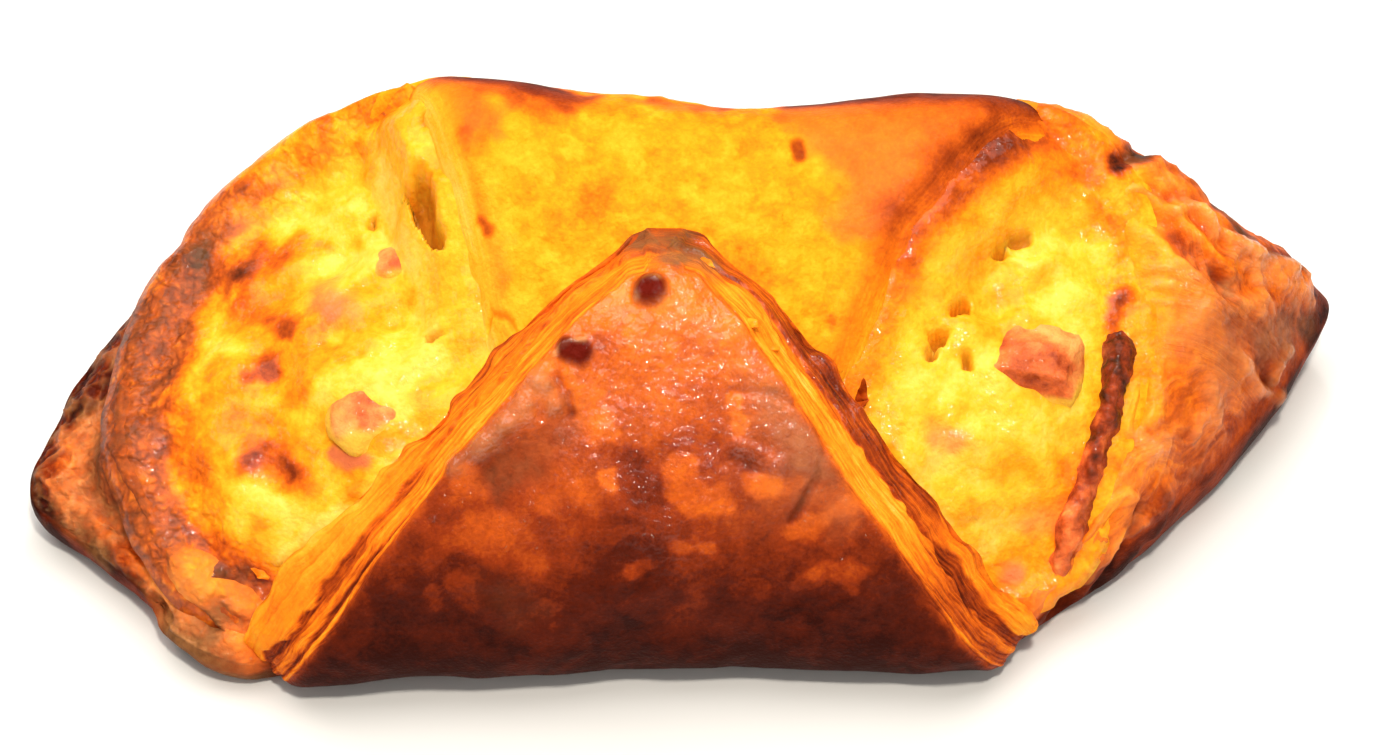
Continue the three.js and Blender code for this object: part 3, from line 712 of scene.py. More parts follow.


# ---- Marks on the base: the wings and the rim ----
# Brown in creases, valleys, pits, hollows, grooves, wrinkles and the notch here is painted shade.
BASE_MARKS = {
    # The pale tint on ridges, crackle and pillows is a painted highlight, and the rosy tint painted sheen.
    "outer ridge": mark([(1148, 162), (1166, 176), (1190, 192)], 1.8, height=0.9, brown=0.12, pale=0.1),
    "crease under the outer ridge": mark([(1150, 190), (1160, 198), (1175, 200), (1193, 205)], 0.6,
        height=-0.7, brown=0.26),
    "fold ridge": mark([(1130, 189), (1148, 193), (1159, 201)], 0.55, height=0.7, pale=0.4, glaze=0.6),
    "arched ridge": mark([(1170, 215), (1184, 208), (1197, 212), (1208, 220), (1216, 233)], 0.7, 0.2,
        height=1.2, brown=-0.1, pale=0.8, glaze=0.9),
    "pit under the arch": mark([(1191, 219), (1206, 229)], 0.7, height=-0.4, brown=0.2),
    "orange ridge": mark([(1161, 217), (1195, 241), (1224, 264)], 1.2, height=1.0, brown=-0.03),
    "deep valley": mark([(1142, 205), (1160, 224), (1180, 246), (1200, 266), (1224, 290)], 1.1, 0.1,
        height=-1.1, brown=0.25),
    "red valley floor": mark([(1174, 237), (1188, 248)], 0.9, brown=0.12),
    "edge ridge": mark([(1230, 233), (1246, 246), (1258, 250)], 0.8, 0.2, height=0.9, brown=-0.1, pale=0.8,
        glaze=0.9),
    "edge ridge's branch": mark([(1228, 258), (1243, 250)], 0.6, 0.2, height=0.7, pale=0.7, glaze=0.6),
    "hollow by the edge ridge": mark([(1214, 240), (1226, 252)], 1.0, height=-0.5, brown=0.16),
    "second edge ridge": mark([(1244, 264), (1264, 259), (1288, 267)], 0.8, 0.2, height=0.8, pale=0.7,
        glaze=0.5),
    "tip crackle": mark([(1262, 276), (1282, 282), (1304, 288)], 1.5, 0.2, 0.7, height=0.5, pale=0.6,
        glaze=0.3),
    "light crackle": mark([(1228, 285), (1236, 302), (1256, 308)], 1.1, 0.1, 0.7, height=0.5, pale=0.55),
    "burnt outer edge": mark([(1196, 180), (1216, 196), (1236, 218)], 1.8, 0.2, 0.6, brown=0.28, grey=0.3),
    "burnt outer edge low": mark([(1244, 232), (1266, 250), (1296, 266)], 0.8, 0.2, 0.5, brown=0.22),
    "pink pillow": mark([(1155, 240), (1172, 262), (1192, 286), (1206, 304)], 2.0, height=1.1, brown=0.04,
        pale=0.3, glaze=0.25),
    "ripples of the pillow": mark([(1180, 262), (1194, 280)], 0.6, 0.0, 0.6, height=0.4, pale=0.3),
    "small ridge one": mark([(1152, 268), (1168, 272)], 0.45, height=0.4, pale=0.4, glaze=0.4),
    "small ridge two": mark([(1152, 284), (1170, 287)], 0.45, height=0.4, pale=0.4, glaze=0.4),
    "small ridge three": mark([(1154, 300), (1172, 303)], 0.45, height=0.4, pale=0.4, glaze=0.4),
    "red field": mark([(1215, 318), (1235, 345)], 4.0, 0.0, 0.4, brown=0.08),
    "orange field": mark([(1180, 312), (1230, 312)], 3.0, 0.0, 0.4, brown=-0.04),
    "smooth brown": mark([(1240, 326), (1275, 328), (1304, 322)], 2.4, 0.1, height=-0.3, brown=0.13,
        rosy=0.4),
    "brown below it": mark([(1262, 345), (1290, 338)], 2.2, 0.1, brown=0.12, rosy=0.4),
    "crackled edge": mark([(1240, 358), (1250, 376), (1262, 391), (1281, 397)], 0.7, 0.1, 0.7, height=0.6,
        pale=0.6, glaze=0.4),
    "crackled edge beside": mark([(1291, 349), (1280, 365), (1276, 380)], 0.6, 0.1, 0.7, height=0.6,
        pale=0.6, glaze=0.4),
    "pit by the edge": mark([(1262, 366), (1270, 380)], 1.1, height=-0.6, brown=0.22),
    "rosy pillow": mark([(1197, 336), (1216, 350), (1228, 368)], 3.0, height=0.7, rosy=0.5, pale=0.2),
    "lower pillow": mark([(1211, 393), (1215, 416)], 1.5, height=0.7, pale=0.6, glaze=0.3),
    "pale ridge": mark([(1203, 418), (1193, 440)], 0.6, height=0.7, pale=0.6, glaze=0.4),
    "groove by the ham one": mark([(1130, 367), (1126, 398), (1120, 424)], 0.5, height=-0.5, brown=0.1),
    "ridge by the ham": mark([(1138, 360), (1134, 398), (1126, 430)], 0.7, height=0.6, brown=-0.04,
        pale=0.2),
    "groove by the ham two": mark([(1146, 366), (1142, 400), (1134, 440)], 0.5, height=-0.5, brown=0.1),
    "yellow ridge": mark([(1157, 372), (1162, 398), (1153, 420)], 0.8, 0.0, 0.6, height=0.7, brown=-0.16,
        glaze=0.4),
    "white crackle": mark([(1140, 445), (1164, 450)], 1.2, 0.1, 0.7, height=0.5, pale=0.6, glaze=0.4),
    "lower ridge": mark([(1130, 500), (1110, 540), (1085, 580)], 0.9, 0.0, 0.5, height=0.6, pale=0.35),
    "lower groove": mark([(1142, 505), (1122, 546), (1098, 584)], 0.6, 0.0, 0.5, height=-0.5, brown=0.16),
    "lower rough edge": mark([(1165, 500), (1135, 545), (1105, 580)], 1.5, 0.0, 0.7, height=0.4,
        brown=0.14),
    "burnt silhouette": mark([(1290, 385), (1276, 412), (1256, 445), (1230, 475)], 2.0, 0.2, brown=0.26),
    "burnt tip": mark([(1318, 290), (1322, 305), (1312, 335)], 1.5, 0.2, brown=0.26),
    "burnt left tip": mark([(52, 460), (44, 495), (58, 535)], 1.8, 0.1, 0.5, brown=0.2),
    "left upper edge": mark([(128, 335), (106, 372), (88, 400)], 2.8, 0.3, brown=0.32),
    # Here on the left tier and corner the pale tint is a paler crust.
    "reddish tier": mark([(95, 420), (84, 450), (80, 480)], 2.2, 0.0, 0.5, brown=0.02, pale=0.25),
    "pale tier": mark([(70, 500), (90, 520), (105, 545)], 2.0, 0.0, 0.6, brown=0.03, pale=0.3),
    "pale corner": mark([(158, 578), (172, 610)], 3.0, 0.2, 0.5, brown=-0.18, height=0.3, pale=0.3),
    "burnt corner": mark([(186, 632), (205, 650), (232, 670)], 3.4, 0.2, 0.6, brown=0.38, grey=0.35),
    "orange corner": mark([(200, 598), (228, 628), (240, 640)], 3.8, 0.1, 0.5, brown=-0.22, height=0.8,
        pale=0.25),
    "wrinkle at the corner": mark([(196, 606), (212, 622), (220, 640)], 0.8, 0.1, 0.4, height=-0.9,
        brown=0.2),
    "second wrinkle there": mark([(222, 600), (236, 618), (240, 636)], 0.7, 0.1, 0.4, height=-0.8,
        brown=0.18),
    "tier's lower edge": mark([(80, 520), (110, 555), (150, 590)], 1.4, 0.2, 0.5, brown=0.12),
    "left notch": mark([(157, 604), (167, 618)], 1.0, 0.1, 0.2, height=-2.0, brown=0.15),
}
# Marks at the rim, which the base and the cheese that runs over it share.
RIM_MARKS = {
    # The brown in the dark notch is painted shade, and the glint's pale tint a painted highlight.
    "dark notch": mark([(1146, 152), (1130, 155), (1119, 162)], 1.4, 0.3, height=-0.9, brown=0.55),
    "glint by the notch": mark([(1130, 166), (1118, 172)], 0.6, height=0.6, pale=0.7, glaze=0.6),
    "thin lip": mark([(1102, 177), (1106, 189), (1124, 199)], 0.5, height=0.6, brown=-0.08, glaze=0.5),
    "left rim burnt": mark([(250, 200), (224, 222), (200, 250)], 2.6, 0.1, 0.6, brown=0.13, grey=0.3),
    "right notch": mark([(1068, 602), (1060, 620)], 1.8, 0.1, 0.2, height=-3.4),
    "left top edge": mark([(236, 188), (190, 222), (150, 262), (132, 310)], 1.2, 0.2, brown=0.14),
    "brown edge at the top": mark([(240, 190), (300, 138), (360, 94)], 0.6, 0.1, 0.6, brown=0.1),
}
# The thin dark line between the left wing's lower tier and the rim above it, a real groove darkened with
# painted shadow, and the lip over the line.
TIER_LINE = {
    "line": mark([(118, 392), (112, 425), (120, 470), (136, 505), (156, 545), (172, 575)], 0.38, 0.2, 0.3,
        height=-0.6, brown=0.25),
    "lip over it": mark([(124, 392), (119, 425), (127, 468), (144, 502)], 0.7, 0.0, 0.4, height=0.5,
        brown=0.08),
}
# Where baked cheese covers the rim up to the outline, pixels of the photograph.
CHEESE_OVER_RIM = [(243, 196), (300, 140), (360, 96), (405, 66), (450, 60), (450, 120), (400, 160),
                   (330, 200), (262, 226)]
BASE_AROUND = 720
BASE_RINGS = {"underside": 5, "wall": 14, "wing": 54, "inside": 22}
SIDE_DENSITY = 0.25  # more points round the wings' tips than at the folds
STEP_FOOT = 0.5  # where on the left wing the rim's band steps down, share from the edge to the rim
TIER_HEIGHT = 0.22  # of the lower tier, share of the rim's height over the edge
PILLOW_POWER = 2.1  # how steeply the right wing rises from its edge
RIGHT_WING_START = (30, 44)  # x over which the base turns into the right wing, mm


def base_rings():
    """Points of the base, with each point's ring kind: share of the wing, and how much it is wing or wall."""
    t = np.linspace(0, 2 * np.pi, BASE_AROUND, endpoint=False)
    angle = t - SIDE_DENSITY * np.sin(2 * t)
    (edge, edge_z), (rim, rim_z) = edge_at(angle), rim_at(angle)
    tier = TIER(np.degrees(np.arctan2(np.sin(angle), np.cos(angle))))
    rows, shares = [], []
    for share in np.linspace(0.05, 1, BASE_RINGS["underside"]):
        rows.append((edge * FOOT_SHARE * share, 0 * edge))
        shares.append(-1.0)
    for turn in np.linspace(0, math.pi / 2, BASE_RINGS["wall"] + 1)[1:]:
        rows.append((edge * lerp(FOOT_SHARE, 1, math.sin(turn)), edge_z * (1 - math.cos(turn))))
        shares.append(-0.02)
    for q in np.linspace(0, 1, BASE_RINGS["wing"] + 1)[1:]:
        pillow = 1 - (1 - q) ** PILLOW_POWER
        step = lerp(smooth(STEP_FOOT, 0.86, q), smooth(0, 0.35, q), TIER_HEIGHT)
        rows.append((lerp(edge, rim, q), lerp(edge_z, rim_z, lerp(pillow, step, tier))))
        shares.append(q)
    for q in np.linspace(0, 1, BASE_RINGS["inside"] + 1)[1:-1]:
        share = math.sqrt(1 - q)
        rows.append((rim * share, lerp(FLOOR_THICKNESS, rim_z, smooth(FLOOR_END, 0.97, share))))
        shares.append(1 + q)
    rings = np.stack([np.stack([out * np.cos(angle), out * np.sin(angle), z], axis=-1) for out, z in rows])
    grid = np.broadcast_to(np.array(shares)[:, None], rings.shape[:2])
    return rings, grid, np.broadcast_to(tier[None], rings.shape[:2])


# How brown baked cheese is where it meets the rim, over degrees from +X.
RIM_BROWN = table([(-180, 0.46), (-160, 0.44), (-140, 0.38), (-110, 0.36), (-60, 0.38), (-20, 0.37),
                   (10, 0.34), (30, 0.42), (60, 0.38), (90, 0.28), (120, 0.24), (143, 0.26), (156, 0.3),
                   (166, 0.44), (180, 0.46)])
# How brown the wings are over the share of the way from their edge to the rim.
RIGHT_WING_BROWN = table([(-0.02, 0.84), (0.04, 0.72), (0.12, 0.58), (0.35, 0.49), (0.5, 0.45), (0.8, 0.39)])
LEFT_WING_BROWN = table([(-0.02, 0.84), (0.07, 0.76), (0.17, 0.6), (0.3, 0.46), (0.5, 0.5), (0.7, 0.5),
                         (0.85, 0.48)])
# How much the left rim is a crusted grey-brown band.
RIM_BAND = table([(-180, 1), (-158, 0.9), (-142, 0.3), (-132, 0), (152, 0), (160, 0.6), (168, 1), (180, 1)])


def degrees_round(points):
    return np.degrees(np.arctan2(points[:, 1], points[:, 0]))


def crust_relief(points):
    """Unevenness that the rim and the cheese running over it share."""
    return 0.4 * noise(points, 8, 21) + 0.3 * noise(points, 4, 22) + 0.12 * rough(points, 2, 2, 23)


def crust_mottle(points):
    return 0.09 * rough(points, 6, 4, 26) + 0.05 * patches(points, 3.0, 27)


def base(material):
    rings, share, tier = base_rings()
    mesh = lofted("dough_base", rings)
    form = coordinates(mesh)
    share, tier = ring_values(share), ring_values(tier)
    marks, line = marked(form, {**BASE_MARKS, **RIM_MARKS}), marked(form, TIER_LINE)
    wing = smooth(-0.01, 0.08, share) * (1 - smooth(1.05, 1.2, share))
    right = smooth(*RIGHT_WING_START, form[:, 0])
    above = smooth(0.3, 1.5, form[:, 2])
    lower_tier = tier * wing * (1 - smooth(STEP_FOOT, STEP_FOOT + 0.1, share))
    band = RIM_BAND(degrees_round(form)) * smooth(STEP_FOOT, STEP_FOOT + 0.12, share)
    relief = crust_relief(form) * lerp(0.6, 1, wing) * lerp(1, 0.6, right) * above
    # The right wing's folds run down towards its tip, and below the tip along its edge.
    upper = smooth(0, 9, form[:, 1])
    down_along, down_across = (form[:, 0] - form[:, 1]) / 1.414, (form[:, 0] + form[:, 1]) / 1.414
    fold_along = lerp(down_across, down_along, upper) + 2.0 * noise(form, 9, 45)
    fold_across = lerp(-down_along, down_across, upper) + 2.2 * noise(form, 8, 46) + 0.7 * noise(form, 3, 47)
    stretched = np.stack([fold_along / 5, fold_across / 1.3, 0 * fold_along], axis=-1)
    folded = right * wing * smooth(0.03, 0.12, share) * (1 - smooth(0.75, 0.95, share))
    folded *= 1 - 0.6 * np.exp(-(((form[:, 1] - 4) / 4) ** 2))
    crests = folded * (0.7 * ridged(stretched, 2.6, 29) + 0.5 * ridged(form, 2.0, 30))
    crests += lower_tier * (0.8 * ridged(form, 3.0, 48) + 0.5 * ridged(form, 1.5, 49))
    relief += 0.5 * crests
    relief += tier * wing * (0.3 * noise(form, 3.2, 24) + 0.2 * rough(form, 1.5, 2, 25))
    push(mesh, relief + (marks["height"] * lerp(1, 1.15, right) + line["height"] * tier) * above)
    rim_brown = RIM_BROWN(degrees_round(form))
    wing_brown = lerp(RIGHT_WING_BROWN(share), LEFT_WING_BROWN(share), tier)
    brown = lerp(wing_brown, rim_brown, smooth(0.72, 0.98, share))
    brown += crust_mottle(form) + marks["brown"] + line["brown"] * tier
    cheesy = smooth(-6, 6, depth_inside(form, CHEESE_OVER_RIM) + 10 * noise(form, 4, 31)) * wing
    cheesy *= smooth(0, 0.12, share)
    brown = lerp(brown, 0.32 + crust_mottle(form) + marks["brown"], cheesy)
    brown = np.where(share < -0.5, 0.72 + 0.1 * noise(form, 10, 27), brown)
    # Crests come out less brown, and below get the pale tint: a painted highlight on them.
    brown += 0.2 * band * (1 - cheesy) - 0.12 * crests + 0.06 * (lower_tier + folded)
    grey = np.clip(band * 0.36 + marks["grey"], 0, 1) * (1 - cheesy)
    egg = np.maximum(np.maximum(0.3 * right, cheesy), smooth(0.75, 0.97, share))
    glaze = wing * (0.06 + 0.06 * right * (1 - cheesy)) + marks["glaze"] * above + 0.25 * crests
    # The rosy tint over the right wing is painted sheen.
    rosy = wing * 0.2 * right * smooth(0.1, 0.7, noise(form, 12, 28)) + marks["rosy"]
    pale = lerp(1, 0.6, right) * marks["pale"] + lerp(0.35, 0.26, right) * crests
    return finished(mesh, "crust", material, ["pastry"], brown=brown, cut=0.75 * folded,
                    leaf=fold_across / 22, along=fold_along, egg=egg, grey=grey,
                    rosy=np.clip(rosy, 0, 1) * (1 - cheesy), pale=np.clip(pale, 0, 1) * (1 - cheesy),
                    glaze=np.clip(glaze, 0, 1), pebble=wing * np.maximum(0.9 * tier, 0.2))


# ---- Filling ----
MOUND_AROUND = 680
MOUND_FOOT = 3.0
# Shares of the way to the rim at which its underside and its top have rings, closer together where it shows.
FOOT_RINGS = (0.2955, 0.6895, 0.95545)
MOUND_RINGS = np.concatenate([np.linspace(0.04, 0.42, 10), np.linspace(0.43, 1, 82), [1.02, 1.04, 1.06]])
# Where the flaps end on the left and on the right, mm: past that nothing keeps the cheese down.
FRONT_ENDS = ((50, 54), (38, 42))
BACK_ENDS = ((31, 34.5), (39, 43))
NO_ROOF = 60.0
LEFT_CHEESE_END = (-20, 20)  # x over which the left mouth's looks turn into the right one's, mm
# How far the cheese stands above the rim, mm, over its share of the way to the rim: it runs over, then under.
OVER_RIM = table([(0.9, 0.2), (0.97, 0.25), (1.0, 0.2), (1.03, -0.3), (1.06, -2.2)])
FILLING_MARKS = {
    "brown by the ham": mark([(246, 462), (270, 466), (290, 470)], 2.0, 0.2, 0.5, height=0.3, brown=0.42),
    "brown spot low": mark([(265, 368)], 1.9, 0.2, 0.5, brown=0.36),
    "brown spot high": mark([(282, 326)], 1.9, 0.2, 0.5, brown=0.36),
    "brown spot by the lip": mark([(262, 524)], 1.6, 0.1, 0.5, brown=0.28),
    "brown bump at the corner": mark([(214, 576)], 1.2, 0.3, 0.4, height=0.7, brown=0.1),
    "burnt patch": mark([(240, 256), (224, 282), (208, 262)], 2.2, 0.0, 0.6, brown=0.24, grey=0.2),
    "burnt fleck": mark([(238, 272), (226, 286)], 0.9, 0.1, 0.7, brown=0.12),
    "orange rim left": mark([(206, 300), (182, 380), (184, 450), (206, 520)], 2.2, 0.0, 0.7, brown=0.12),
    "orange top": mark([(300, 190), (330, 170)], 2.6, 0.0, 0.6, brown=0.12),
    "toasted top": mark([(330, 130), (370, 100), (395, 90)], 2.6, 0.0, 0.6, brown=0.14),
    "toasted top low": mark([(345, 190), (355, 160)], 1.8, 0.0, 0.7, brown=0.1),
    "toasted top right": mark([(1075, 130), (1050, 165), (1085, 180)], 3.8, 0.0, 0.6, brown=0.2),
    "brown curd one": mark([(322, 300), (334, 312)], 1.5, 0.1, 0.5, brown=0.16, pink=0.3),
    "brown curd two": mark([(300, 250), (318, 244)], 1.6, 0.0, 0.6, brown=0.14),
    "brown curd three": mark([(352, 218), (362, 226)], 1.4, 0.0, 0.6, brown=0.12),
    "orange curd low": mark([(300, 400), (292, 430)], 1.8, 0.0, 0.6, brown=0.1),
    "orange curd lower": mark([(240, 420), (250, 440)], 1.8, 0.0, 0.6, brown=0.12),
    "orange corner low": mark([(226, 560), (216, 540)], 2.4, 0.0, 0.6, brown=0.16),
    "orange by the burnt patch": mark([(262, 250), (250, 300)], 3.0, 0.0, 0.6, brown=0.2),
    "red strip on the right": mark([(1112, 326), (1114, 304), (1124, 292), (1136, 298)], 0.9, 0.2, 0.3,
        height=0.5, brown=0.36, glaze=0.4),
    "ridge on the right": mark([(1068, 186), (1090, 200), (1106, 216), (1120, 246), (1142, 272)], 0.5,
        height=0.5, brown=0.1),
    "deeper yellow": mark([(1075, 232), (1095, 232)], 1.3, 0.5, 0.3, brown=0.14),
    "pink left": mark([(325, 290), (345, 310)], 1.8, 0.2, 0.4, pink=0.5),
    "pink right": mark([(935, 440), (955, 442)], 1.4, 0.2, 0.4, pink=0.7),
    "pink low right": mark([(1032, 520), (1060, 520)], 1.6, 0.2, 0.4, pink=0.5),
    # The brown in these two folds is painted shade in them.
    "fold at the top left": mark([(392, 84), (383, 102), (375, 116), (371, 134)], 0.7, 0.1, 0.3,
        height=-0.9, brown=0.34),
    "fold beside it": mark([(426, 120), (420, 136), (413, 150)], 0.6, 0.1, 0.3, height=-0.7, brown=0.26),
    "red ring": mark([(1010, 574), (1015, 574)], 1.1, 0.3, 0.3, height=0.4, pink=0.9),
    "red wedge": mark([(336, 455), (350, 461), (366, 462)], 0.9, 0.5, 0.3, height=0.3, pink=1.0, red=0.25),
    "orange low right": mark([(1005, 470), (1020, 480)], 2.4, 0.0, 0.5, brown=0.16),
    "orange by the slice": mark([(1075, 475), (1085, 490)], 2.2, 0.0, 0.5, brown=0.18),
    "folds high right": mark([(1005, 262), (1030, 268), (1050, 264)], 0.6, 0.0, 0.4, height=0.5,
        brown=-0.05),
    "folds low left": mark([(280, 560), (320, 530), (350, 490)], 1.0, 0.0, 0.5, height=0.5, brown=-0.08),
    "cheese round the cube": mark([(1010, 366), (1045, 372)], 6.0, 0.0, 0.2, height=0.8),
    "greenish cheese": mark([(330, 345), (372, 350)], 3.0, 0.0, 0.5, brown=0.04),
    "cheese round the left ham": mark([(360, 400), (372, 430)], 6.0, 0.0, 0.2, height=0.7),
}
# Openings in the filling: their line on the photograph, half width and depth in mm.
OPENINGS = {
    "slot below the cave": ([(439, 270), (436, 280)], 0.5, 2.0),
    "gap by the fold": ([(442, 334), (432, 338)], 0.7, 2.0),
    "slot in the middle": ([(373, 218), (372, 226)], 0.4, 1.5),
    "right upper hole": ([(988, 254), (997, 249)], 1.0, 3.5),
    "right shallow hole": ([(1008, 240), (1020, 238)], 1.0, 1.4),
    "right deep hole": ([(953, 317), (963, 306)], 1.0, 4.0),
    "right hole": ([(938, 337), (943, 328)], 0.85, 3.0),
    "right small hole": ([(930, 356), (933, 349)], 0.6, 2.5),
    "right slot": ([(966, 354), (967, 365)], 0.5, 2.2),
}
# The tall opening beside the back flap, pixels of the photograph, and its depth in mm.
CAVE = [(421, 163), (428, 176), (433, 190), (436, 212), (443, 236), (442, 246), (433, 247), (424, 236),
        (414, 200), (404, 192), (412, 183), (414, 172)]
CAVE_DEPTH = 6.0


def under_flap(flap):
    """Height of the middle of a flap's dough over a line y, which keeps the filling inside the folds."""
    share = np.linspace(0, 1, 201)
    side = flap["side"]
    spot, head = flap["profile"]["place"](share), flap["profile"]["heading"](share)
    over = (side * head[:, 0] > 0) | (side * head[:, 1] > 0)
    inset = FOLD_THICKNESS / 2
    y = (spot[:, 0] + side * head[:, 1] * inset)[over] * side
    z = (spot[:, 1] - side * head[:, 0] * inset)[over]
    order = np.argsort(y)
    highest = np.maximum.accumulate(z[order])
    return lambda where: np.interp(side * where, y[order], highest, left=0)


def filling_height(x, y):
    rim, rim_z = rim_at(np.arctan2(y, x))
    share = np.clip(np.hypot(x, y) / rim, 0, 1)
    edge = np.clip(rim_z - 0.8, 8, FILLING_TOP + 4)
    return lerp(FILLING_TOP, edge, share**2.1) + 0.9 * lumps(x, y, 15, 3) + 0.5 * lumps(x, y, 7, 8)


def lumps(x, y, pitch, seed):
    """The solids' own crossed waves."""
    a = 2 * np.pi / pitch
    first = np.sin(a * (0.83 * x + 0.55 * y) + 1.3 * seed)
    second = np.sin(a * (0.41 * x - 0.97 * y) * 1.27 + 2.1 * seed + 0.7)
    third = np.sin(a * (1.31 * x + 0.12 * y) * 0.71 + 0.6 * seed + 2.9)
    return (first + second + third * 0.8) / 2.8


def beyond(x, ends):
    """0 under a flap, and 1 past its ends."""
    left, right = ends
    return smooth(*left, -x) + smooth(*right, x)


CLIMB_REACH = 8.0  # how far from the back flap's sides the cheese starts to climb them, mm
CLIMB_SLOPE = 0.8
CLIMB_START = 0.42  # share of the back flap's length from which it does
CLIMB_TOP = 0.72  # how far up the flap's thickness it reaches


def climbed(spots):
    """Heights of the cheese where it climbs the back flap's sides in a hollow curve, and how near it is."""
    height, near = spots[:, 2], np.zeros(len(spots))
    share = np.linspace(CLIMB_START, 0.97, 60)
    for side in (0.0, 1.0):
        foot = flap_points(BACK, np.full_like(share, side), share, np.full_like(share, CLIMB_TOP))
        distance, along = distance_to_line(spots[:, :2], foot[:, :2])
        wall = np.interp(along, np.linspace(0, 1, len(foot)), foot[:, 2])
        fall = CLIMB_SLOPE * distance * (1 - 0.5 * np.clip(distance / CLIMB_REACH, 0, 1))
        fade = 1 - smooth(0.4 * CLIMB_REACH, CLIMB_REACH, distance)
        height = height + np.clip(wall - 0.3 - fall - height, 0, 8) * fade
        near = np.maximum(near, 1 - smooth(0, 0.9 * CLIMB_REACH, distance))
    return height, near


def filling(material):
    angle = np.linspace(0, 2 * np.pi, MOUND_AROUND, endpoint=False)
    rim, rim_z = rim_at(angle)
    front, back = under_flap(FRONT), under_flap(BACK)
    rows = []
    for share in FOOT_RINGS:
        x, y = rim * share * np.cos(angle), rim * share * np.sin(angle)
        rows.append(np.stack([x, y, np.full_like(x, MOUND_FOOT)], axis=-1))
    for share in MOUND_RINGS[::-1]:
        x, y = rim * share * np.cos(angle), rim * share * np.sin(angle)
        high = lerp(filling_height(x, y), rim_z + OVER_RIM(share), smooth(0.84, 1.0, share))
        under_front = front(y) + NO_ROOF * beyond(x, FRONT_ENDS)
        under_back = back(y) + NO_ROOF * beyond(x, BACK_ENDS)
        roof = np.minimum(np.minimum(under_front, under_back), high)
        rows.append(np.stack([x, y, np.maximum(roof, MOUND_FOOT + 0.5)], axis=-1))
    mesh = lofted("cheese_filling", np.stack(rows))
    form = coordinates(mesh)
    top = smooth(MOUND_FOOT + 0.6, MOUND_FOOT + 3, form[:, 2])
    spots = form.copy()
    high, by_flap = climbed(form)
    spots[:, 2] = lerp(form[:, 2], high, top)
    place(mesh, spots)
    form = spots.copy()
    marks = marked(form, {**FILLING_MARKS, **RIM_MARKS, **FOLD_MARKS})
    outward = np.hypot(form[:, 0], form[:, 1]) / rim_at(np.arctan2(form[:, 1], form[:, 0]))[0]
    at_rim = smooth(0.8, 0.97, outward)
    curd = 0.34 * noise(form, 6, 31) + 0.26 * noise(form, 3, 32) + 0.1 * rough(form, 1.6, 2, 33)
    curd *= 1 - 0.75 * by_flap
    pits = (1 - smooth(0.08, 0.22, bubbles(form, 4.0, 34)[0])) * smooth(0, 0.5, noise(form, 9, 36))
    push(mesh, top * (lerp(curd - 0.35 * pits, crust_relief(form), at_rim) + marks["height"]))
    spots = coordinates(mesh)
    hole = np.zeros(len(form))
    for line, width, depth in OPENINGS.values():
        distance, _ = distance_to_line(form, [on_surface(pixel) for pixel in line])
        wavy = distance / width + 0.25 * noise(form, 1.2, 35)
        share = (1 - smooth(0.75, 1.25, wavy)) * top
        spots[:, 2] -= depth * share
        hole = np.maximum(hole, share)
    cave = smooth(-2, 4, depth_inside(form, CAVE) + 2 * noise(form, 1.2, 37)) * top
    spots[:, 2] -= CAVE_DEPTH * cave
    spots[:, 2] = np.maximum(spots[:, 2], MOUND_FOOT)
    place(mesh, spots)
    left = 1 - smooth(*LEFT_CHEESE_END, form[:, 0])
    clouds = noise(form, 8, 40) + 0.6 * noise(form, 3.4, 41) + 0.3 * rough(form, 1.6, 2, 42)
    marbled = smooth(-0.35, 0.75, clouds)
    toasted = left * smooth(0.4, 0.75, outward)
    brown = lerp(lerp(0.13, 0.09, left), lerp(lerp(0.28, 0.24, left), 0.36, toasted), marbled)
    ragged = outward + 0.02 * noise(form, 5, 43) + 0.012 * noise(form, 2, 44)
    brown = lerp(brown, RIM_BROWN(degrees_round(form)) + crust_mottle(form), smooth(0.85, 0.96, ragged))
    band = RIM_BAND(degrees_round(form)) * smooth(0.91, 0.95, ragged)
    beside_flap = lerp(lerp(0.22, 0.46, smooth(0.2, 0.9, by_flap)), 0.27, left) + 0.04 * noise(form, 5, 45)
    brown = lerp(brown, beside_flap, smooth(0, 0.4, by_flap) * (1 - at_rim)) + marks["brown"] + 0.2 * band
    return finished(mesh, "cheese", material, ["filling"], brown=brown, red=marks["red"], pink=marks["pink"],
                    grey=np.clip(marks["grey"] + 0.5 * band, 0, 1), hole=np.maximum(hole, cave),
                    pebble=np.maximum(at_rim * (0.2 + 0.4 * left), band), glaze=0.3 + marks["glaze"])


# ---- Ham ----
# Each dice's place and size in mm, its turn in radians, how far it stands out of the cheese in mm, how brown
# and how round it is, and up to where cheese covers it, from -1 at its foot to 1 at its top.
HAM_DICE = {
    "ham_cube_right": {"at": (38.2, -2.2), "size": (12.0, 9.2, 8.0), "turn": -0.25, "rise": 2.2,
                       "tone": 0.45, "round": 0.5, "foot": 0.0},
    "ham_cube_left": {"at": (-36.4, -8.2), "size": (10.0, 13.0, 6.5), "turn": -0.3, "rise": 0.95,
                      "tone": 0.24, "round": 0.95, "foot": 0.35},
    "ham_bit_left": {"at": (-34.6, 10.2), "size": (5.6, 5.4, 3.8), "turn": 0.3, "rise": 0.75,
                     "tone": 0.42, "round": 0.95, "foot": 0.35},
}
HAM_MARKS = {
    "raised loop": mark([(1010, 340), (1018, 330), (1034, 326), (1044, 336)], 0.7, 0.1, 0.3, height=0.6,
        brown=-0.2),
    "dark right corner": mark([(1054, 360), (1064, 366)], 1.1, 0.0, 0.5, brown=0.2),
    # The brown in the dark fold is painted shade in it.
    "dark fold": mark([(1016, 368), (1040, 376)], 0.8, 0.0, 0.5, height=-0.3, brown=0.16),
    "pale left end": mark([(976, 352), (984, 362)], 1.6, 0.0, 0.4, brown=-0.25),
    "pink core": mark([(364, 412), (372, 420)], 2.0, 0.0, 0.5, brown=0.2),
}
DICE_AROUND, DICE_RINGS = 96, 48


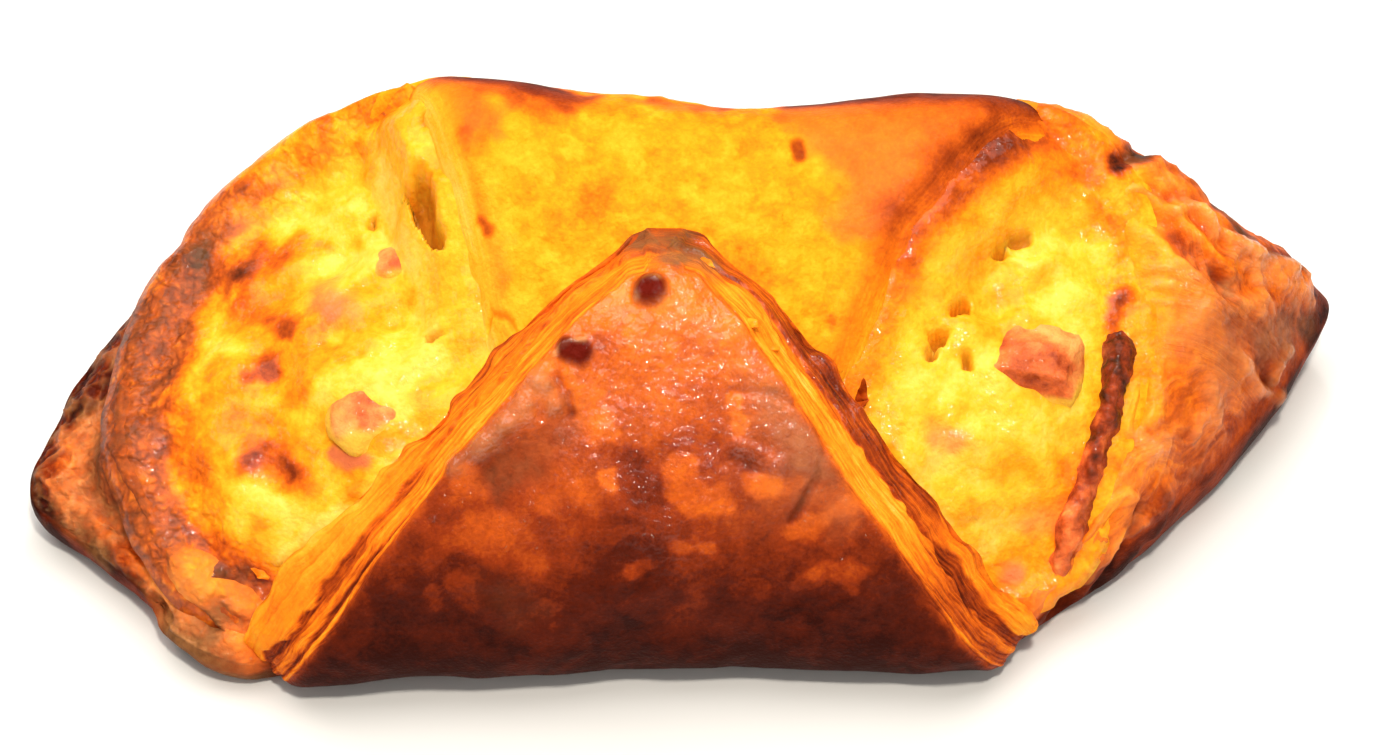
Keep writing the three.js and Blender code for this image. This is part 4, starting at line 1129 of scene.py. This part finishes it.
def ham_dice(node, material):
    """A rounded block of ham that stands out of the cheese."""
    spec = HAM_DICE[node]
    size = np.array(spec["size"])
    polar_angle = np.linspace(0, np.pi, DICE_RINGS + 2)[1:-1, None]
    angle = np.linspace(0, 2 * np.pi, DICE_AROUND, endpoint=False)[None]
    ball = np.stack([np.sin(polar_angle) * np.cos(angle), np.sin(polar_angle) * np.sin(angle),
                     np.cos(polar_angle) * np.ones_like(angle)], axis=-1)
    cube = ball / np.abs(ball).max(-1, keepdims=True)
    block = lerp(cube, ball, spec["round"]) * 0.98
    seed = int(10 * size[0])
    uneven = 1 + 0.08 * noise(block * 4, 3, seed)[..., None]
    x, y, z = np.moveaxis(block * size / 2 * uneven, -1, 0)
    turn = spec["turn"]
    middle = filling_height(*map(np.array, spec["at"])) + spec["rise"] - size[2] / 2
    rings = np.stack([spec["at"][0] + x * math.cos(turn) - y * math.sin(turn),
                      spec["at"][1] + x * math.sin(turn) + y * math.cos(turn), middle + z], axis=-1)
    mesh = lofted(node.replace("ham_", "diced_ham_"), rings)
    form = coordinates(mesh)
    marks = marked(form, HAM_MARKS)
    push(mesh, 0.3 * noise(form, 3, seed + 1) + 0.12 * rough(form, 1.3, 2, seed + 2) + marks["height"])
    high = (form[:, 2] - middle) / size[2] * 2
    brown = spec["tone"] + 0.22 * rough(form, 3.5, 3, seed + 3) + marks["brown"]
    pale = 1 - smooth(spec["foot"] - 0.1, spec["foot"] + 0.35, high + 0.2 * noise(form, 2.5, seed + 4))
    return finished(mesh, "ham", material, [node], brown=brown, pale=pale)


HAM_SLICE = {"path": [(48.6, 2.4), (47.4, -4), (45.6, -10), (43.2, -16), (40.6, -21.6)],
             "width": (5.2, 2.6), "rise": 2.3, "depth": 7.0}
SLICE_AROUND = 56
# How brown it is over its length, from the end at the back.
SLICE_BROWN = table([(0, 0.76), (0.25, 0.84), (0.4, 0.78), (0.65, 0.68), (0.85, 0.58), (1, 0.5)])


def ham_slice(material):
    """The browned edge of a slice of ham that stands between the filling and the right wing."""
    path = centripetal(HAM_SLICE["path"], steps=50)
    share = np.linspace(0, 1, len(path))
    heading = np.gradient(path, axis=0)
    heading /= np.linalg.norm(heading, axis=1, keepdims=True)
    head = 1 - smooth(0, 0.22, share)
    half = lerp(HAM_SLICE["width"][1], HAM_SLICE["width"][0], head) / 2
    taper = np.sqrt(np.clip(1 - np.abs(2 * share - 1) ** 8, 0, 1) * 0.9 + 0.1)
    knobbly = 1.15 + 0.04 * np.sin(share * 34) + 0.03 * np.sin(share * 61 + 1)
    top = filling_height(path[:, 0], path[:, 1]) + HAM_SLICE["rise"] * taper * knobbly
    turn = np.linspace(0, 2 * np.pi, SLICE_AROUND, endpoint=False)
    across = np.cos(turn)[None] * (half * taper * knobbly)[:, None]
    upward = np.sin(turn)[None]
    depth = HAM_SLICE["depth"]
    z = (top - depth / 2)[:, None] + np.sign(upward) * np.abs(upward) ** 0.8 * depth / 2
    x, y = path[:, :1] - heading[:, 1:] * across, path[:, 1:] + heading[:, :1] * across
    rings = np.stack([x, y, z], axis=-1)
    mesh = lofted("browned_ham_slice", rings)
    form = coordinates(mesh)
    push(mesh, 0.2 * noise(form, 2.8, 41) + 0.32 * rough(form, 1.2, 2, 42))
    along = distance_to_line(form[:, :2], path[::10])[1]
    brown = SLICE_BROWN(along) + 0.26 * rough(form, 2.2, 3, 43)
    burnt = 0.5 * (1 - smooth(0.1, 0.28, along)) * smooth(-0.2, 0.4, noise(form, 1.8, 44))
    return finished(mesh, "browned_ham", material, ["ham_slice_right"], brown=brown, grey=burnt)


# ---- Flakes of crust ----
# The pixel of the photograph where each one sits, its length, width and curl in mm, the direction in which it
# points in degrees from +X, its slope in degrees, and how brown it is.
FLAKES = {
    "spur_by_right_mouth": ((862, 402), (3.8, 1.5, 1.3), 78, 55, 0.7),
    "spur_foot": ((858, 404), (2.2, 1.6, 0.2), 20, 15, 0.6),
    "rim_of_lip": ((312, 588), (2.6, 2.0, 0.3), -35, 8, 0.34),
    "end_of_lip": ((344, 545), (2.4, 1.8, 0.3), -25, 8, 0.34),
    "top_of_lip": ((372, 508), (2.0, 1.5, 0.3), 60, 10, 0.36),
    "lip_by_mouth": ((262, 576), (2.4, 1.4, 0.4), 160, 20, 0.42),
    "right_band_high": ((706, 262), (2.2, 1.2, 0.3), -50, 5, 0.36),
    "right_band_middle": ((752, 322), (2.4, 1.3, 0.4), -60, 5, 0.33),
    "right_band_low": ((772, 346), (1.8, 1.1, 0.3), -40, 8, 0.36),
}
FLAKE_THICKNESS = 0.3
FLAKE_ROOT = 0.8  # how far behind its place on the surface it starts, mm
FLAKE_STATIONS, FLAKE_AROUND = 24, 32


def flake(name, material):
    """A thin pointed leaf of crust that starts under the surface and bends away from it."""
    at, (length, width, curl), turn, slope, tone = FLAKES[name]
    turn, slope = math.radians(turn), math.radians(slope)
    ahead = np.array([math.cos(turn) * math.cos(slope), math.sin(turn) * math.cos(slope), math.sin(slope)])
    aside = np.array([-math.sin(turn), math.cos(turn), 0.0])
    upward = np.cross(ahead, aside)
    share = np.linspace(0, 1, FLAKE_STATIONS)[:, None, None]
    around = np.linspace(0, 2 * np.pi, FLAKE_AROUND, endpoint=False)[None, :, None]
    half = width / 2 * np.sqrt(np.clip(1 - share**1.6, 0, 1)) * (0.6 + 0.4 * smooth(0, 0.4, share)) + 0.02
    rings = ahead * (share * length) + aside * (np.cos(around) * half)
    rings = rings + upward * (np.sin(around) * FLAKE_THICKNESS / 2 * (1 - 0.6 * share) + curl * share**2)
    mesh = lofted("crust_flake_" + name, on_surface(at) - FLAKE_ROOT * ahead + rings)
    form = coordinates(mesh)
    place(mesh, form + 0.2 * np.stack([noise(form, 1.0, 50 + k) for k in range(3)], axis=-1))
    brown = tone + 0.1 * rough(form, 1.2, 2, 54)
    return finished(mesh, "crust", material, [], brown=brown, egg=0.4, glaze=0.15)


# ---- Materials ----
SUBSURFACE_SCALE = 1.5  # mm
SUBSURFACE_RADIUS = (1.0, 0.5, 0.15)


class Shader:
    """A new material's node tree, with short calls for the nodes used here."""

    def __init__(self, name):
        self.material = bpy.data.materials.new(name)
        self.material.use_nodes = True
        self.tree = self.material.node_tree
        self.surface = self.tree.nodes["Principled BSDF"]
        self.place = self.add("ShaderNodeTexCoord").outputs["Object"]

    def add(self, kind, inputs=(), **settings):
        made = self.tree.nodes.new(kind)
        for name, value in settings.items():
            setattr(made, name, value)
        for name, value in dict(inputs).items():
            self.connect(made.inputs[name], value)
        return made

    def connect(self, socket, value):
        if isinstance(value, bpy.types.NodeSocket):
            self.tree.links.new(value, socket)
        else:
            socket.default_value = value

    def read(self, name):
        return self.add("ShaderNodeAttribute", attribute_name=name).outputs["Fac"]

    def math(self, operation, *values, clamp=False):
        made = self.add("ShaderNodeMath", dict(enumerate(values)), operation=operation, use_clamp=clamp)
        return made.outputs[0]

    def noise(self, pitch, detail=4.0, roughness=0.55):
        """Noise from 0 to 1 with bumps about one pitch wide, mm."""
        inputs = {"Vector": self.place, "Scale": 1 / (pitch * MM), "Detail": detail, "Roughness": roughness}
        return self.add("ShaderNodeTexNoise", inputs).outputs["Fac"]

    def pebbles(self, pitch):
        """Rounded grains about one pitch wide, mm, of uneven sizes: 0 between them, 1 at their tops."""
        inputs = {"Vector": self.place, "Scale": 0.6 / (pitch * MM), "Detail": 1.0}
        drift = self.add("ShaderNodeTexNoise", inputs)
        reach = 1.6 * pitch * MM
        drifts = {0: drift.outputs["Color"], 1: (reach, reach, reach), 2: self.place}
        moved = self.add("ShaderNodeVectorMath", drifts, operation="MULTIPLY_ADD").outputs[0]
        inputs = {"Vector": moved, "Scale": 1 / (pitch * MM), "Smoothness": 0.5}
        made = self.add("ShaderNodeTexVoronoi", inputs, feature="SMOOTH_F1")
        return self.math("MULTIPLY_ADD", made.outputs["Distance"], -1.4, 1.0, clamp=True)

    def skin(self, pitch, distance):
        """A smooth uneven surface for a coat of glaze or fat, without the grain of what is under it."""
        broad = self.bump(self.noise(3.2 * pitch, 1.0), 2.0 * distance)
        return self.bump(self.noise(pitch, 1.5), distance, 1.0, broad)

    def ramp(self, value, stops):
        made = self.add("ShaderNodeValToRGB", {"Fac": value})
        elements = made.color_ramp.elements
        while len(elements) < len(stops):
            elements.new(1.0)
        for element, (at, colour) in zip(elements, stops):
            element.position = at
            element.color = (*colour, 1)
        return made.outputs["Color"]

    def mix(self, share, first, second):
        made = self.add("ShaderNodeMix", data_type="RGBA")
        for index, value in ((0, share), (6, first), (7, second)):
            if isinstance(value, tuple):
                value = (*value, 1)
            self.connect(made.inputs[index], value)
        return made.outputs[2]

    def patchy(self, name, pitch, gain):
        """A stored share, broken up by noise about one pitch wide, mm."""
        gained = self.math("MULTIPLY", self.noise(pitch, 3.0), gain)
        return self.math("MULTIPLY", self.read(name), gained, clamp=True)

    def spread(self, value, amount):
        """A 0 to 1 noise turned into -amount to amount."""
        return self.math("MULTIPLY_ADD", value, 2 * amount, -amount)

    def bump(self, height, distance, strength=1.0, normal=None):
        inputs = {"Height": height, "Distance": distance * MM, "Strength": strength}
        if normal is not None:
            inputs["Normal"] = normal
        return self.add("ShaderNodeBump", inputs).outputs["Normal"]

    def finish(self, colour, roughness, normal, coat=0.0, coat_roughness=0.2, subsurface=0.0, specular=0.5,
               coat_normal=None):
        inputs = {"Base Color": colour, "Roughness": roughness, "Normal": normal, "Coat Weight": coat,
                  "Coat Roughness": coat_roughness, "Subsurface Weight": subsurface,
                  "Subsurface Scale": SUBSURFACE_SCALE * MM, "Subsurface Radius": SUBSURFACE_RADIUS,
                  "Specular IOR Level": specular}
        for name, value in inputs.items():
            self.connect(self.surface.inputs[name], value)
        if coat_normal is not None:
            self.connect(self.surface.inputs["Coat Normal"], coat_normal)
        return self.material


# Colours over how brown the crust is, from pale to burnt.
GLAZED = [(0.0, (0.97, 0.46, 0.07)), (0.2, (0.97, 0.32, 0.018)), (0.4, (0.90, 0.18, 0.009)),
          (0.55, (0.60, 0.092, 0.007)), (0.7, (0.30, 0.034, 0.004)), (0.85, (0.11, 0.011, 0.002)),
          (1.0, (0.034, 0.004, 0.0015))]
EGGED = [(0.0, (0.99, 0.68, 0.10)), (0.18, (0.98, 0.52, 0.022)), (0.34, (0.97, 0.35, 0.007)),
         (0.5, (0.92, 0.19, 0.005)), (0.64, (0.60, 0.09, 0.006)), (0.8, (0.25, 0.032, 0.004)),
         (1.0, (0.035, 0.006, 0.002))]
HAM = [(0.0, (0.97, 0.56, 0.16)), (0.3, (0.95, 0.34, 0.085)), (0.5, (0.84, 0.17, 0.04)),
       (0.75, (0.36, 0.05, 0.013)), (1.0, (0.06, 0.012, 0.004))]
GREY_CRUST = (0.33, 0.13, 0.045)
# A pinkish tint that paints a soft sheen of light on the glaze and crust.
ROSY_SHEEN_TINT = (0.50, 0.15, 0.055)
RED_GLAZE = (0.13, 0.006, 0.002)
PINK_HAM = (0.92, 0.22, 0.07)
CHEESY_HAM = (0.98, 0.58, 0.06)
# A light tint: painted highlight on crests, crackle and glints; a paler crust on the left tier.
PALE_TINT_AND_HIGHLIGHT = (0.95, 0.40, 0.12)
CHARRED_HAM = (0.10, 0.055, 0.03)
HOLE_SHADE = (0.42, 0.14, 0.010)


def dough_material():
    shader = Shader("baked_dough")
    cut, egg, glaze = shader.read("cut"), shader.read("egg"), shader.read("glaze")
    mottle = shader.noise(2.4, 5.0, 0.62)
    fine = shader.noise(0.45, 3.0)
    pebbles, pebble = shader.pebbles(1.1), shader.read("pebble")
    layered = shader.add("ShaderNodeCombineXYZ", {"X": shader.math("MULTIPLY", shader.read("along"), 0.22),
                                                  "Y": shader.math("MULTIPLY", shader.read("leaf"), 24.0)})
    fibres = shader.add("ShaderNodeTexNoise", {"Vector": layered.outputs[0], "Scale": 1.0, "Detail": 2.0,
                                               "Roughness": 0.6}).outputs["Fac"]
    brown = shader.math("ADD", shader.read("brown"), shader.spread(mottle, 0.14))
    brown = shader.math("ADD", brown, shader.spread(fine, 0.08))
    brown = shader.math("MULTIPLY_ADD", shader.spread(fibres, 0.32), cut, brown)
    # Grain tops come out lighter and the gaps darker: painted light and shade on the pebbled crust.
    brown = shader.math("SUBTRACT", brown, shader.math("MULTIPLY", shader.spread(pebbles, 0.1), pebble))
    colour = shader.mix(egg, shader.ramp(brown, GLAZED), shader.ramp(brown, EGGED))
    # The rosy tint below is painted sheen, and the pale one mostly a painted highlight.
    for name, pitch, gain, tint in (("grey", 1.8, 1.5, GREY_CRUST), ("rosy", 1.4, 1.5, ROSY_SHEEN_TINT),
                                    ("pale", 0.9, 1.4, PALE_TINT_AND_HIGHLIGHT)):
        colour = shader.mix(shader.patchy(name, pitch, gain), colour, tint)
    colour = shader.mix(shader.read("red"), colour, RED_GLAZE)
    rough_dough = shader.math("MULTIPLY_ADD", mottle, 0.25, 0.45)
    height = shader.math("MULTIPLY_ADD", fine, 0.45, mottle)
    height = shader.math("MULTIPLY_ADD", fibres, shader.math("MULTIPLY", cut, 1.2), height)
    height = shader.math("MULTIPLY_ADD", pebbles, shader.math("MULTIPLY", pebble, 1.3), height)
    normal = shader.bump(height, 0.3)
    return shader.finish(colour, rough_dough, normal, coat=glaze, coat_roughness=0.05, subsurface=0.03,
                         specular=0.04, coat_normal=shader.skin(0.7, 0.34))


def cheese_material():
    shader = Shader("baked_cheese")
    mottle = shader.noise(2.8, 4.0, 0.55)
    fine = shader.noise(0.7, 3.0, 0.55)
    pebbles, pebble = shader.pebbles(1.1), shader.read("pebble")
    brown = shader.math("ADD", shader.read("brown"), shader.spread(mottle, 0.24))
    brown = shader.math("ADD", brown, shader.spread(fine, 0.07))
    # Grain tops come out lighter and the gaps darker: painted light and shade on the crusted cheese.
    brown = shader.math("SUBTRACT", brown, shader.math("MULTIPLY", shader.spread(pebbles, 0.12), pebble))
    colour = shader.ramp(brown, EGGED)
    grey = shader.math("MULTIPLY", shader.read("grey"), shader.noise(1.8, 3.0), clamp=True)
    colour = shader.mix(grey, colour, GREY_CRUST)
    colour = shader.mix(shader.read("pink"), colour, PINK_HAM)
    colour = shader.mix(shader.read("red"), colour, RED_GLAZE)
    colour = shader.mix(shader.math("MULTIPLY", shader.read("hole"), 0.8), colour, HOLE_SHADE)
    height = shader.math("MULTIPLY_ADD", fine, 0.4, mottle)
    height = shader.math("MULTIPLY_ADD", pebbles, shader.math("MULTIPLY", pebble, 1.8), height)
    normal = shader.bump(height, 0.3)
    rough_cheese = shader.math("MULTIPLY_ADD", fine, 0.25, 0.36)
    return shader.finish(colour, rough_cheese, normal, coat=shader.read("glaze"), coat_roughness=0.08,
                         subsurface=0.04, specular=0.05, coat_normal=shader.skin(0.8, 0.2))


def ham_material():
    shader = Shader("cooked_ham")
    fibre = shader.noise(1.2, 5.0, 0.65)
    brown = shader.math("ADD", shader.read("brown"), shader.spread(fibre, 0.28))
    colour = shader.mix(shader.read("pale"), shader.ramp(brown, HAM), CHEESY_HAM)
    colour = shader.mix(shader.read("grey"), colour, CHARRED_HAM)
    normal = shader.bump(fibre, 0.45)
    roughness = shader.math("MULTIPLY_ADD", fibre, 0.2, 0.35)
    return shader.finish(colour, roughness, normal, coat=0.18, coat_roughness=0.08, subsurface=0.06,
                         specular=0.05, coat_normal=shader.skin(0.8, 0.2))


# ---- Floor, light and camera ----
FLOOR_SIZE = 4000.0


def floor():
    half = FLOOR_SIZE / 2 * MM
    mesh = bpy.data.meshes.new("floor")
    corners = [(-half, -half, 0), (half, -half, 0), (half, half, 0), (-half, half, 0)]
    mesh.from_pydata(corners, [], [(0, 1, 2, 3)])
    piece = bpy.data.objects.new("floor", mesh)
    bpy.context.scene.collection.objects.link(piece)
    shader = Shader("pale_floor")
    faint = shader.mix(shader.noise(60, 2.0), (0.86, 0.86, 0.85), (0.89, 0.89, 0.88))
    mesh.materials.append(shader.finish(faint, 0.8, shader.bump(shader.noise(2.0), 0.02, 0.2), specular=0.1))


# Each light's place and size in mm, its power in watts and its colour.
LIGHTS = {
    "overhead": ((-40, 150, 640), (820, 640), 5.15, (1, 0.96, 0.9)),
    "front glints": ((40, -230, 600), (50, 50), 2.1, (1, 0.92, 0.8)),
    "back glints": ((30, 420, 520), (70, 70), 0.6, (1, 0.97, 0.92)),
    "left fill": ((-350, -420, 380), (500, 400), 0.5, (1, 0.95, 0.88)),
    "right fill": ((380, -380, 380), (500, 400), 0.5, (1, 0.95, 0.88)),
}
AIM_HEIGHT = 15.0  # of the point over the frame's origin that they are turned to, mm
SURROUND_COLOUR = (1.0, 0.98, 0.95)
SURROUND_STRENGTH = 0.15


def lights():
    for name, (place_mm, size_mm, power, colour) in LIGHTS.items():
        light = bpy.data.lights.new(name, "AREA")
        light.shape = "RECTANGLE"
        light.size, light.size_y = (s * MM for s in size_mm)
        light.energy = power
        light.color = colour
        holder = bpy.data.objects.new(name, light)
        holder.location = Vector(place_mm) * MM
        aim = Vector((0, 0, AIM_HEIGHT * MM)) - holder.location
        holder.rotation_euler = aim.to_track_quat("-Z", "Y").to_euler()
        bpy.context.scene.collection.objects.link(holder)
    world = bpy.data.worlds.new("soft_surround")
    world.use_nodes = True
    background = world.node_tree.nodes["Background"]
    background.inputs["Color"].default_value = (*SURROUND_COLOUR, 1)
    background.inputs["Strength"].default_value = SURROUND_STRENGTH
    bpy.context.scene.world = world


def camera():
    data = bpy.data.cameras.new("photo_camera")
    data.sensor_fit = "HORIZONTAL"
    data.sensor_width = SENSOR_WIDTH
    data.lens = LENS
    holder = bpy.data.objects.new("photo_camera", data)
    holder.location = Vector(EYE) * MM
    holder.rotation_euler = (math.radians(90 - CAMERA_ELEVATION), 0, 0)
    bpy.context.scene.collection.objects.link(holder)
    bpy.context.scene.camera = holder


def main():
    camera()
    lights()
    floor()
    dough, cheese, ham = dough_material(), cheese_material(), ham_material()
    base(dough)
    front_flap(dough)
    back_flap(dough)
    filling(cheese)
    for node in HAM_DICE:
        ham_dice(node, ham)
    ham_slice(ham)
    for name in FLAKES:
        flake(name, dough)
    bpy.context.scene.view_settings.view_transform = "Standard"


main()
